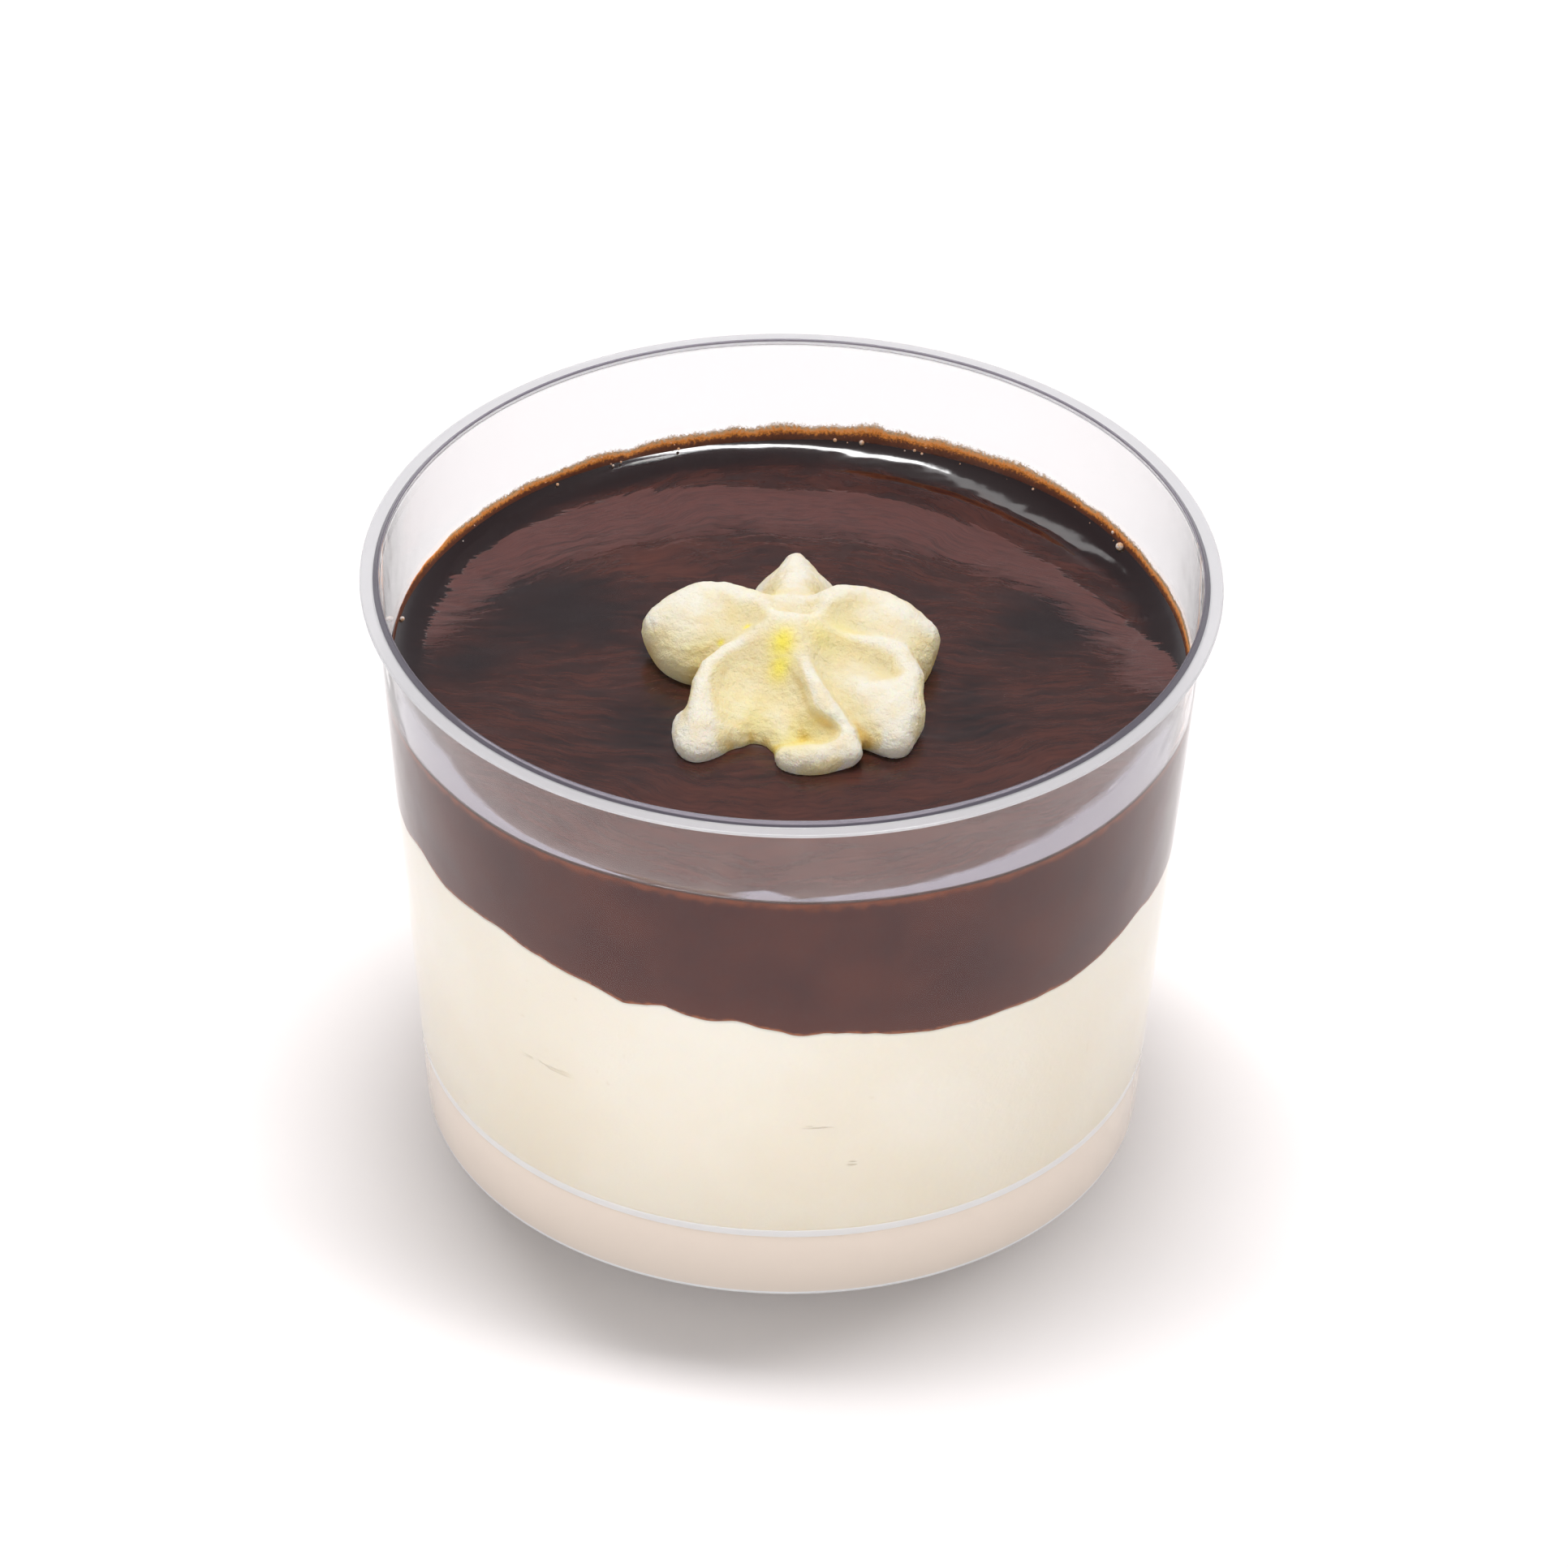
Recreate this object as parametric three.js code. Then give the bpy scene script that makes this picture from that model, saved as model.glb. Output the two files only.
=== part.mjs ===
// Profiterole cup: a clear dessert cup with a thick layer of cream, a layer of chocolate sauce
// and one piped star of cream. Millimetres, +Z up, the cup's foot stands on z = 0 around the Z axis.
// +Y points away from the viewer of the photo, +X to the right.
import * as THREE from "three";

// Cup: one thin moulded wall that leans outwards, a raised floor and a stepped rim.
const CUP_HEIGHT = 61.9;
const FOOT_RADIUS = 35.6;
const WALL_TOP_RADIUS = 40.95;
const WALL_TOP_HEIGHT = 60.7;
const WALL_THICKNESS = 0.6;
const FLOOR_TOP = 8.1;
const FLOOR_THICKNESS = 0.9;
const FLOOR_FILLET = 0.7;
const FOOT_EDGE_ROUND = 0.12;
const RIM_INNER_RADIUS = 40.5;
const SHOULDER_RADIUS = 41.15;
const SHOULDER_HEIGHT = 61.45;
const FLANGE_RADIUS = 42.45;
const FLANGE_THICKNESS = 0.35;
const RIM_EDGE_ROUND = 0.12;
const TURNED_SEGMENTS = 96;

// Layers: both keep this gap to the cup and to each other.
const GAP = 0.3;
const CREAM_EDGE = { level: 35.2, right: -1.75, near: -0.7, twice: -1.15, ripple: 0.16 };
const CREAM_EDGE_ROUND = 0.1;
const CREAM_TOP_CENTRE = 34.6;
const CREAM_NOTCH = { azimuth: -24, width: 2.6, depth: 0.75 };
const CREAM_DIP = { azimuth: 2, width: 3.4, depth: 0.35 };
const SAUCE_LEVEL = 49.5;
const SAUCE_EDGE = { level: 50.75, sway: 0.2, ripple: 0.08 };
const MENISCUS_WIDTH = 1.7;
const SEAT_CHAMFER = 0.4;

// Star: six uneven lobes pressed out of a star nozzle, blended from strands and beads of cream.
// Heights are above the sauce and headings are degrees anticlockwise from +X. A strand runs out
// from the middle to its reach, turns from one heading to the other past its bend, sinks from one
// height to the other and goes from one thickness to the other.
const STAR_SINK = 0.3;
const STAR_BLEND = 0.75;
const STAR_SOURCE = [0.3, -0.5, -9];
const STRAND_STEPS = 9;
const STAR_STRANDS = [
  { headings: [270, 270], bend: 0.5, reach: 0.6, heights: [3.6, -1.5], fall: 1, thick: [1.9, 8.2] },
  { headings: [42, 14], bend: 0.6, reach: 13, heights: [7.4, 2.7], fall: 2, thick: [1.1, 1.8] },
  { headings: [88, 88.6], bend: 0.5, reach: 15.2, heights: [4.9, 3.2], fall: 1.2, thick: [1.9, 0.6] },
  { headings: [140, 163], bend: 0.7, reach: 13, heights: [6.3, 3], fall: 2.4, thick: [1.1, 2] },
  { headings: [209, 236], bend: 0.44, reach: 16.2, heights: [5.7, 0.8], fall: 2.2, thick: [0.9, 1.2] },
  { headings: [283, 292.5], bend: 0.25, reach: 15.5, heights: [5.8, 1.4], fall: 2.1, thick: [0.9, 1.15] },
  { headings: [348, 311], bend: 0.68, reach: 16, heights: [5.8, 1], fall: 2.6, thick: [0.9, 1.5] },
  { headings: [28, 22], bend: 0.5, reach: 9, heights: [2.5, 2], fall: 1, thick: [4, 4] },
  { headings: [88, 88], bend: 0.5, reach: 14, heights: [2.6, 2], fall: 1, thick: [4.6, 1.3] },
  { headings: [152, 156], bend: 0.5, reach: 9, heights: [2.5, 2], fall: 1, thick: [4, 4] },
  { headings: [219, 238], bend: 0.4, reach: 14.8, heights: [2.4, 0.5], fall: 1, thick: [4, 1.3] },
  { headings: [236, 243], bend: 0.4, reach: 12, heights: [2.8, 0.5], fall: 1.2, thick: [3.4, 1.4] },
  { headings: [252, 256], bend: 0.4, reach: 10.2, heights: [2.8, 0.2], fall: 1.3, thick: [3.2, 1.3] },
  { headings: [264, 268], bend: 0.4, reach: 11.7, heights: [2.8, 0.2], fall: 1.3, thick: [3.2, 1.3] },
  { headings: [284, 290], bend: 0.3, reach: 13.5, heights: [2, 1], fall: 1, thick: [3.8, 1.6] },
  { headings: [304, 305], bend: 0.4, reach: 11.2, heights: [2.8, 0.2], fall: 1.2, thick: [3.2, 1.4] },
  { headings: [335, 320], bend: 0.4, reach: 10, heights: [2.5, 1.8], fall: 1, thick: [3.6, 3] },
];
const STAR_BULBS = [
  { at: [0.4, 11.2, 0.9], radii: [4.3, 3.6, 2.9] },
  { at: [-9, 3.9, 1.6], radii: [4.8, 6, 4.2] },
  { at: [9.5, 2.1, 1.5], radii: [4.5, 6.4, 3.8] },
  { at: [9.4, -8.2, 1.3], radii: [3.7, 4.1, 2.7] },
  { at: [1.9, -14.6, 0.8], radii: [3.2, 2, 2] },
  { at: [-10.3, -10.4, 0.7], radii: [1.1, 2.6, 1.2] },
];
const STAR_HOLLOWS = [
  { at: [8.6, -4.6, 7.2], radii: [3, 2.6, 2.6] },
  { at: [1.4, -12.9, 3], radii: [3.4, 1.3, 1.1] },
  { at: [-4.6, -7.4, 7.2], radii: [3.2, 3.2, 3.4] },
  { at: [-1, -9.4, 6], radii: [2.2, 2.8, 2.8] },
  { at: [5.2, -5.2, 7.4], radii: [2, 3, 2.6] },
  { at: [-6, 0.4, 8.4], radii: [3, 1.3, 2.2] },
  { at: [0.5, 2.2, 9.4], radii: [3, 2.6, 2.5] },
  { at: [6.6, 0.4, 8.6], radii: [3, 1.3, 2.2] },
];
const STAR_COLUMNS = 90;
const STAR_ROWS = 22;
const TRACE_START = 27;
const TRACE_STEPS = 60;

const clear = new THREE.MeshStandardMaterial({ color: 0xe9edf0, roughness: 0.06, metalness: 0 });
const ivory = new THREE.MeshStandardMaterial({ color: 0xece4d4, roughness: 0.55, metalness: 0 });
const cocoa = new THREE.MeshStandardMaterial({ color: 0x4a2f2b, roughness: 0.28, metalness: 0 });
const whipped = new THREE.MeshStandardMaterial({ color: 0xf6efd6, roughness: 0.6, metalness: 0 });

const radians = THREE.MathUtils.degToRad;
const mix = THREE.MathUtils.lerp;

// Outer and inner radius of the leaning wall at a height.
const wallLean = (WALL_TOP_RADIUS - FOOT_RADIUS) / WALL_TOP_HEIGHT;
const outerRadius = (z) => FOOT_RADIUS + wallLean * z;
const innerRadius = (z) => outerRadius(z) - WALL_THICKNESS;

// A bell of height 1 that falls off around an azimuth, all in degrees.
function bell(azimuth, centre, width) {
  const away = ((azimuth - centre + 540) % 360) - 180;
  return Math.exp(-((away / width) ** 2));
}

// Points of a quarter arc around (r, z), radius given, from one angle to the other in degrees.
function arc(r, z, radius, from, to, steps) {
  const points = [];
  for (let i = 0; i <= steps; i += 1) {
    const a = radians(mix(from, to, i / steps));
    points.push(new THREE.Vector2(r + radius * Math.cos(a), z + radius * Math.sin(a)));
  }
  return points;
}

// The cup's section, from the underside of the floor round the foot and the rim to the floor's top.
function cupSection() {
  const underside = FLOOR_TOP - FLOOR_THICKNESS;
  const flangeTop = SHOULDER_HEIGHT - 0.05;
  const flangeBottom = flangeTop - FLANGE_THICKNESS;
  const footRound = FOOT_EDGE_ROUND;
  const rimRound = RIM_EDGE_ROUND;
  const edge = FLANGE_THICKNESS / 2;
  return [
    new THREE.Vector2(0, underside),
    new THREE.Vector2(innerRadius(underside) - FLOOR_FILLET, underside),
    ...arc(innerRadius(underside) - FLOOR_FILLET, underside - FLOOR_FILLET, FLOOR_FILLET, 90, 0, 4).slice(1),
    new THREE.Vector2(innerRadius(footRound), footRound),
    new THREE.Vector2(innerRadius(0) + footRound, 0),
    new THREE.Vector2(outerRadius(0) - footRound, 0),
    new THREE.Vector2(outerRadius(footRound), footRound),
    new THREE.Vector2(outerRadius(FLOOR_TOP), FLOOR_TOP),
    new THREE.Vector2(outerRadius(WALL_TOP_HEIGHT - 1), WALL_TOP_HEIGHT - 1),
    new THREE.Vector2(outerRadius(WALL_TOP_HEIGHT), flangeBottom - 0.15),
    new THREE.Vector2(SHOULDER_RADIUS + 0.1, flangeBottom),
    ...arc(FLANGE_RADIUS - edge, flangeBottom + edge, edge, -90, 90, 4),
    new THREE.Vector2(SHOULDER_RADIUS + 0.08, flangeTop),
    new THREE.Vector2(SHOULDER_RADIUS, SHOULDER_HEIGHT),
    ...arc(RIM_INNER_RADIUS + 1.6 * rimRound, CUP_HEIGHT - rimRound, rimRound, 60, 180, 4),
    new THREE.Vector2(innerRadius(CUP_HEIGHT) - 0.02, CUP_HEIGHT - 1.6),
    new THREE.Vector2(innerRadius(FLOOR_TOP + FLOOR_FILLET), FLOOR_TOP + FLOOR_FILLET),
    ...arc(innerRadius(FLOOR_TOP) - FLOOR_FILLET, FLOOR_TOP + FLOOR_FILLET, FLOOR_FILLET, 0, -90, 4).slice(1),
    new THREE.Vector2(0, FLOOR_TOP),
  ];
}

// A point at a radius, a direction in degrees and a height.
function polar(r, azimuth, z) {
  const a = radians(azimuth);
  return [r * Math.cos(a), r * Math.sin(a), z];
}

// A closed skin round the Z axis: stations run from a lower pole to an upper pole, and
// pointAt(azimuth, station) gives the point where a column crosses a station.
function closedSkin(azimuths, stations, lowerPole, upperPole, pointAt) {
  const count = azimuths.length;
  const positions = [...lowerPole];
  for (let s = 0; s < stations; s += 1) {
    for (const azimuth of azimuths) positions.push(...pointAt(azimuth, s));
  }
  positions.push(...upperPole);
  const last = positions.length / 3 - 1;
  const at = (s, i) => 1 + s * count + (i % count);
  const faces = [];
  for (let i = 0; i < count; i += 1) {
    faces.push(0, at(0, i + 1), at(0, i));
    for (let s = 0; s + 1 < stations; s += 1) {
      faces.push(at(s, i), at(s, i + 1), at(s + 1, i));
      faces.push(at(s, i + 1), at(s + 1, i + 1), at(s + 1, i));
    }
    faces.push(at(stations - 1, i), at(stations - 1, i + 1), last);
  }
  const geometry = new THREE.BufferGeometry();
  geometry.setAttribute("position", new THREE.Float32BufferAttribute(positions, 3));
  geometry.setIndex(faces);
  geometry.computeVertexNormals();
  return geometry;
}

const turnedAzimuths = Array.from({ length: TURNED_SEGMENTS }, (_, i) => (360 * i) / TURNED_SEGMENTS);

// Height of the line between cream and sauce on the wall. 0 degrees is the side near the viewer
// and the angle grows to the right.
function creamEdge(azimuth) {
  const side = azimuth + 90;
  const a = radians(side);
  const wave = CREAM_EDGE.right * Math.sin(a) + CREAM_EDGE.near * Math.cos(a);
  const ripple = CREAM_EDGE.ripple * (Math.sin(7 * a + 1) + Math.sin(13 * a));
  const notch = CREAM_NOTCH.depth * bell(side, CREAM_NOTCH.azimuth, CREAM_NOTCH.width);
  const dip = CREAM_DIP.depth * bell(side, CREAM_DIP.azimuth, CREAM_DIP.width);
  return CREAM_EDGE.level + wave + CREAM_EDGE.twice * Math.sin(2 * a) + ripple - notch - dip;
}

// Height of the cream's top at a share of the way from the axis to the wall.
function creamTop(azimuth, share) {
  return mix(CREAM_TOP_CENTRE, creamEdge(azimuth), share ** 2);
}

// Height at which the sauce touches the wall.
function sauceEdge(azimuth) {
  const a = radians(azimuth);
  const sway = SAUCE_EDGE.sway * Math.sin(2 * a + 0.6);
  return SAUCE_EDGE.level + sway + SAUCE_EDGE.ripple * Math.sin(9 * a);
}

// Height of the sauce's open surface, which climbs the wall in a narrow meniscus.
function sauceTop(azimuth, radius) {
  const climb = sauceEdge(azimuth) - SAUCE_LEVEL;
  const wall = innerRadius(SAUCE_LEVEL) - GAP;
  return SAUCE_LEVEL + climb * Math.exp(-(wall - radius) / MENISCUS_WIDTH);
}

// The cream layer: floor, fillet, wall and the uneven top under the sauce.
function creamLayer() {
  const bottom = FLOOR_TOP + GAP;
  const topShares = [1, 0.85, 0.6, 0.3];
  const stations = 3 + topShares.length;
  const filletTop = bottom + FLOOR_FILLET;
  return closedSkin(turnedAzimuths, stations, [0, 0, bottom], [0, 0, CREAM_TOP_CENTRE], (azimuth, s) => {
    if (s === 0) return polar(innerRadius(bottom) - GAP - FLOOR_FILLET, azimuth, bottom);
    if (s === 1) return polar(innerRadius(filletTop) - GAP, azimuth, filletTop);
    const wallTop = creamEdge(azimuth) - CREAM_EDGE_ROUND;
    const wall = innerRadius(wallTop) - GAP;
    if (s === 2) return polar(wall, azimuth, wallTop);
    const share = topShares[s - 3];
    return polar(share * (wall - CREAM_EDGE_ROUND), azimuth, creamTop(azimuth, share));
  });
}

// Smooth rise from 0 at low to 1 at high.
const smoothRise = (value, low, high) => THREE.MathUtils.smoothstep(value, low, high);

// Pieces of a strand between its steps, each with its two ends and its radius at each end.
function strandPieces(strand) {
  const ends = [];
  for (let i = 0; i <= STRAND_STEPS; i += 1) {
    const t = i / STRAND_STEPS;
    const heading = mix(...strand.headings, smoothRise(t, strand.bend, 1));
    const centre = polar(strand.reach * t, heading, mix(...strand.heights, t ** strand.fall));
    ends.push({ centre: new THREE.Vector3(...centre), radius: mix(...strand.thick, t) });
  }
  return ends.slice(1).map((end, i) => ({ from: ends[i], way: end.centre.clone().sub(ends[i].centre), end }));
}

const starPieces = STAR_STRANDS.map(strandPieces);

// Distance of a point from a strand's skin, negative inside it.
function strandGap(pieces, point) {
  let nearest = Infinity;
  for (const { from, way, end } of pieces) {
    const off = point.clone().sub(from.centre);
    const t = THREE.MathUtils.clamp(off.dot(way) / way.lengthSq(), 0, 1);
    nearest = Math.min(nearest, off.addScaledVector(way, -t).length() - mix(from.radius, end.radius, t));
  }
  return nearest;
}

// Distance of a point from a bead's skin, negative inside it.
function beadGap(bead, point) {
  const scaled = point.toArray().map((value, i) => (value - bead.at[i]) / bead.radii[i]);
  const reach = Math.hypot(...scaled);
  const steepness = Math.hypot(...scaled.map((value, i) => value / bead.radii[i]));
  return reach * (reach - 1) / Math.max(steepness, 1e-6);
}

// Distance of a point from the star's skin, negative inside it. Strands and bulbs blend softly,
// and the hollows are pressed out of them.
function starGap(point) {
  const share = (gap) => Math.exp(-gap / STAR_BLEND);
  const strands = starPieces.map((pieces) => share(strandGap(pieces, point)));
  const bulbs = STAR_BULBS.map((bead) => share(beadGap(bead, point)));
  const cream = [...strands, ...bulbs].reduce((sum, value) => sum + value, 0);
  const pressed = STAR_HOLLOWS.map((bead) => share(beadGap(bead, point)));
  return STAR_BLEND * Math.log(pressed.reduce((sum, value) => sum + value, 1 / cream));
}

// The point where a ray from a start meets the star's skin, found from outside.
function starHit(start, way) {
  let length = TRACE_START;
  const point = new THREE.Vector3();
  for (let i = 0; i < TRACE_STEPS; i += 1) {
    point.copy(start).addScaledVector(way, length);
    length -= starGap(point);
  }
  return point;
}

const starAzimuths = Array.from({ length: STAR_COLUMNS }, (_, i) => (360 * i) / STAR_COLUMNS);

// Radius of the star's foot in each direction.
const starFeet = starAzimuths.map((azimuth) => {
  const hit = starHit(new THREE.Vector3(0, 0, -STAR_SINK), new THREE.Vector3(...polar(1, azimuth, 0)));
  return Math.hypot(hit.x, hit.y);
});

// A point of the star's skin on a fan of rays from a source under it: the lowest ray of each
// column passes the foot, and the next ones climb evenly to straight up.
function starPoint(azimuth, row) {
  const foot = starFeet[starAzimuths.indexOf(azimuth)];
  const source = new THREE.Vector3(...STAR_SOURCE);
  const low = new THREE.Vector3(...polar(foot, azimuth, -STAR_SINK));
  const passed = low.clone().sub(source);
  const climb = Math.atan2(passed.z, Math.hypot(passed.x, passed.y));
  const angle = mix(climb, Math.PI / 2, row / STAR_ROWS);
  const turn = Math.atan2(passed.y, passed.x);
  const flat = Math.cos(angle);
  const way = new THREE.Vector3(flat * Math.cos(turn), flat * Math.sin(turn), Math.sin(angle));
  const hit = row === 0 ? low : starHit(source, way);
  return [hit.x, hit.y, SAUCE_LEVEL + Math.max(hit.z, -STAR_SINK)];
}

function creamStar() {
  const tip = starHit(new THREE.Vector3(...STAR_SOURCE), new THREE.Vector3(0, 0, 1));
  const top = [tip.x, tip.y, SAUCE_LEVEL + tip.z];
  return closedSkin(starAzimuths, STAR_ROWS, [0, 0, SAUCE_LEVEL - STAR_SINK], top, starPoint);
}

// The sauce: its underside follows the cream, and its top has a shallow seat under the star.
function sauceLayer() {
  const underShares = [0.3, 0.6, 0.85, 1];
  const topRadii = [0.99, 0.975, 0.95, 0.91, 0.86, 0.75, 0.6];
  const seat = SAUCE_LEVEL - STAR_SINK - GAP;
  const stations = underShares.length + topRadii.length + 3;
  const underside = [0, 0, CREAM_TOP_CENTRE + GAP];
  return closedSkin(starAzimuths, stations, underside, [0, 0, seat], (azimuth, s) => {
    if (s < underShares.length) {
      const share = underShares[s];
      const reach = innerRadius(creamEdge(azimuth) + GAP) - GAP;
      return polar(share * reach, azimuth, creamTop(azimuth, share) + GAP);
    }
    const wall = innerRadius(sauceEdge(azimuth)) - GAP;
    const top = s - underShares.length;
    if (top === 0) return polar(wall, azimuth, sauceEdge(azimuth));
    if (top <= topRadii.length) {
      const r = wall * topRadii[top - 1];
      return polar(r, azimuth, sauceTop(azimuth, r));
    }
    const foot = starFeet[starAzimuths.indexOf(azimuth)] + GAP;
    if (top === topRadii.length + 1) return polar(foot + SEAT_CHAMFER, azimuth, SAUCE_LEVEL);
    return polar(foot, azimuth, seat);
  });
}

function piece(name, geometry, material) {
  const mesh = new THREE.Mesh(geometry, material);
  mesh.name = name;
  return mesh;
}

// LatheGeometry turns round Y, so the cup is stood up onto Z.
const cupGeometry = new THREE.LatheGeometry(cupSection(), TURNED_SEGMENTS);
cupGeometry.rotateX(Math.PI / 2);

const dessert = new THREE.Group();
dessert.add(piece("cup", cupGeometry, clear));
dessert.add(piece("cream_layer", creamLayer(), ivory));
dessert.add(piece("chocolate_layer", sauceLayer(), cocoa));
dessert.add(piece("cream_star", creamStar(), whipped));

export default dessert;
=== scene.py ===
"""Looks of the profiterole cup: a clear plastic cup with vanilla cream, chocolate sauce and a piped star of cream.

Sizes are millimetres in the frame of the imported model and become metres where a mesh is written. +Z is up, +X is to
the right in the photo, -Y is towards its viewer, and the middle of the cup's foot stands at the origin. Directions
round the cup are degrees anticlockwise from +X.
"""

from __future__ import annotations

import logging
import math
from collections.abc import Callable, Sequence
from dataclasses import dataclass, field
from enum import Enum

import bpy
import numpy as np
from mathutils import Matrix, Vector, noise


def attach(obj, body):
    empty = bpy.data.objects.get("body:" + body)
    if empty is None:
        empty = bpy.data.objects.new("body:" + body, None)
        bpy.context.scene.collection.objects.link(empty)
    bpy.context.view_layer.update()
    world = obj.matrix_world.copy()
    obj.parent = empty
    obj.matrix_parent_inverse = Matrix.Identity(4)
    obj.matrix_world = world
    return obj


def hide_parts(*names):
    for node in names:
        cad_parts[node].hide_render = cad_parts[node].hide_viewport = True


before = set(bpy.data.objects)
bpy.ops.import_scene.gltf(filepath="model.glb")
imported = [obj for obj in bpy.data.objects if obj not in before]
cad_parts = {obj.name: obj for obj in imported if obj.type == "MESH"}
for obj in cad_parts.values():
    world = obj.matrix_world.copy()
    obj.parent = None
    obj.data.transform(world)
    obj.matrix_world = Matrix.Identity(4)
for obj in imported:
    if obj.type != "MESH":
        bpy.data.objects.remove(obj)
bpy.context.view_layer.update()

MM = 0.001
TINY = 1e-9
FRONT = -90.0
BODY = "root"
LOG = logging.getLogger("profiterole_cup")

Colour = tuple[float, float, float]
Point = tuple[float, float, float]
Span = tuple[float, float]
Arc = tuple[float, float, float, float]
Table = tuple[Span, ...]
Faces = list[list[int]]
Inputs = dict[str | int, object]
Socket = bpy.types.NodeSocket


class Slot(Enum):
    """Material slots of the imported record."""

    CLEAR_PLASTIC = "clear_plastic"
    VANILLA_CREAM = "vanilla_cream"
    CHOCOLATE_SAUCE = "chocolate_sauce"
    WHIPPED_CREAM = "whipped_cream"


class Trait(Enum):
    """Numbers that a mesh carries at its points, for its material to read."""

    # The dried crescent of the sauce, with its rougher skin and its painted sheen.
    SHEEN_SKIN_IN = "sheen_skin_inner_side"
    SHEEN_SKIN_OUT = "sheen_skin_outer_side"
    EMBER = "ember_share"
    SEAM = "height_above_cream"
    LEVEL = "level_above_edge"
    CREST_SHADING = "crest_light"
    VALLEY_GLOW = "valley_glow"
    FILM = "film_height"


# Small helpers


def bell(value: np.ndarray, centre: float, width: float) -> np.ndarray:
    """Bell of height 1 around a centre."""
    return np.exp(-(((value - centre) / width) ** 2))


def turn_from(azimuth: np.ndarray, heading: float) -> np.ndarray:
    """Signed turn in degrees, from -180 to 180, of directions from a heading."""
    return (azimuth - heading + 540.0) % 360.0 - 180.0


def smooth_step(value: np.ndarray | float, low: float | np.ndarray, high: float | np.ndarray) -> np.ndarray:
    """Smooth rise from 0 at low to 1 at high, which is a smooth fall where high is the smaller one."""
    t = np.clip((value - low) / (high - low), 0.0, 1.0)
    return t * t * (3.0 - 2.0 * t)


def arc_window(azimuth: np.ndarray, arc: Arc) -> np.ndarray:
    """Smooth window over part of the circle.

    Args:
        azimuth: Directions in degrees.
        arc: Directions where it starts to open, is open, starts to close and is closed.

    Returns:
        A share of 0 to 1 for each direction.
    """
    opening, opened, closing, closed = arc
    return smooth_step(azimuth, opening, opened) * smooth_step(azimuth, closed, closing)


def polar(radius: np.ndarray, azimuth: np.ndarray, z: np.ndarray) -> np.ndarray:
    """Points at radii, directions and heights.

    Args:
        radius: Distances from the cup's axis.
        azimuth: Directions in degrees.
        z: Heights.

    Returns:
        An array of points, one more axis long than the inputs.
    """
    a = np.radians(azimuth)
    radius, a, z = np.broadcast_arrays(radius, a, z)
    return np.stack([radius * np.cos(a), radius * np.sin(a), z], axis=-1)


def ripples(points: np.ndarray, size: float | Sequence[float], octaves: int, seed: float) -> np.ndarray:
    """Smooth noise of about -1 to 1.

    Args:
        points: Points, with X, Y and Z on the last axis.
        size: Size of the broadest ripple, one number or one for each axis.
        octaves: How many finer layers are added up.
        seed: Shift that gives each use its own pattern.

    Returns:
        One value for each point.
    """
    flat = (points / np.array(size, float)).reshape(-1, 3) + np.array([seed, 2.3 * seed, 4.1 * seed])
    values = [noise.fractal(Vector(p), 1.0, 2.0, octaves) for p in flat]
    return np.array(values).reshape(points.shape[:-1])


def arc_points(centre: Span, radius: float, start: float, end: float, steps: int) -> list[Span]:
    """Points of an arc in the section plane.

    Args:
        centre: The arc's centre, as radius and height.
        radius: The arc's radius.
        start: First angle in degrees.
        end: Last angle in degrees.
        steps: Number of equal steps.

    Returns:
        The points, as pairs of radius and height.
    """
    angles = np.radians(np.linspace(start, end, steps + 1))
    return [(centre[0] + radius * math.cos(a), centre[1] + radius * math.sin(a)) for a in angles]


def mesh_piece(
    name: str, points: np.ndarray, faces: Faces, traits: dict[Trait, np.ndarray] | None = None
) -> bpy.types.Object:
    """Object at the origin, with its place in its mesh.

    Args:
        name: Name of the object and of its mesh.
        points: Points in millimetres.
        faces: The numbers of each face's points, anticlockwise seen from outside.
        traits: Values for each point.

    Returns:
        The object, in the scene.
    """
    mesh = bpy.data.meshes.new(name)
    mesh.from_pydata((points * MM).tolist(), [], faces)
    for trait, values in (traits or {}).items():
        mesh.attributes.new(trait.value, "FLOAT", "POINT").data.foreach_set("value", values.astype(np.float32))
    piece = bpy.data.objects.new(name, mesh)
    bpy.context.scene.collection.objects.link(piece)
    return piece


def ring_faces(low: int, high: int, columns: int) -> Faces:
    """Faces between two closed rings of points.

    Args:
        low: Number of the first point of the lower ring.
        high: Number of the first point of the upper ring.
        columns: Number of points in each ring.

    Returns:
        One face for each column.
    """
    column = np.arange(columns)
    following = (column + 1) % columns
    return np.stack([low + column, low + following, high + following, high + column], 1).tolist()


def skin_mesh(
    name: str, rings: np.ndarray, poles: tuple[Sequence[float], Sequence[float]], traits: dict[Trait, np.ndarray]
) -> bpy.types.Object:
    """Closed skin round the cup's axis.

    Args:
        name: Name of the object and of its mesh.
        rings: Points by station, then by column, from the lower pole to the upper.
        poles: Points that close the first and the last ring.
        traits: Values for each point of the rings.

    Returns:
        The object, in the scene.
    """
    stations, columns = rings.shape[:2]
    points = np.concatenate([[poles[0]], rings.reshape(-1, 3), [poles[1]]])
    top = 1 + (stations - 1) * columns
    around = [(a, (a + 1) % columns) for a in range(columns)]
    faces = [[0, 1 + b, 1 + a] for a, b in around]
    for low in range(1, top, columns):
        faces += ring_faces(low, low + columns, columns)
    faces += [[top + a, top + b, len(points) - 1] for a, b in around]
    flat = {
        trait: np.concatenate([[values[0].mean()], values.ravel(), [values[-1].mean()]])
        for trait, values in traits.items()
    }
    piece = mesh_piece(name, points, faces, flat)
    piece.data.shade_smooth()
    return piece


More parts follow.
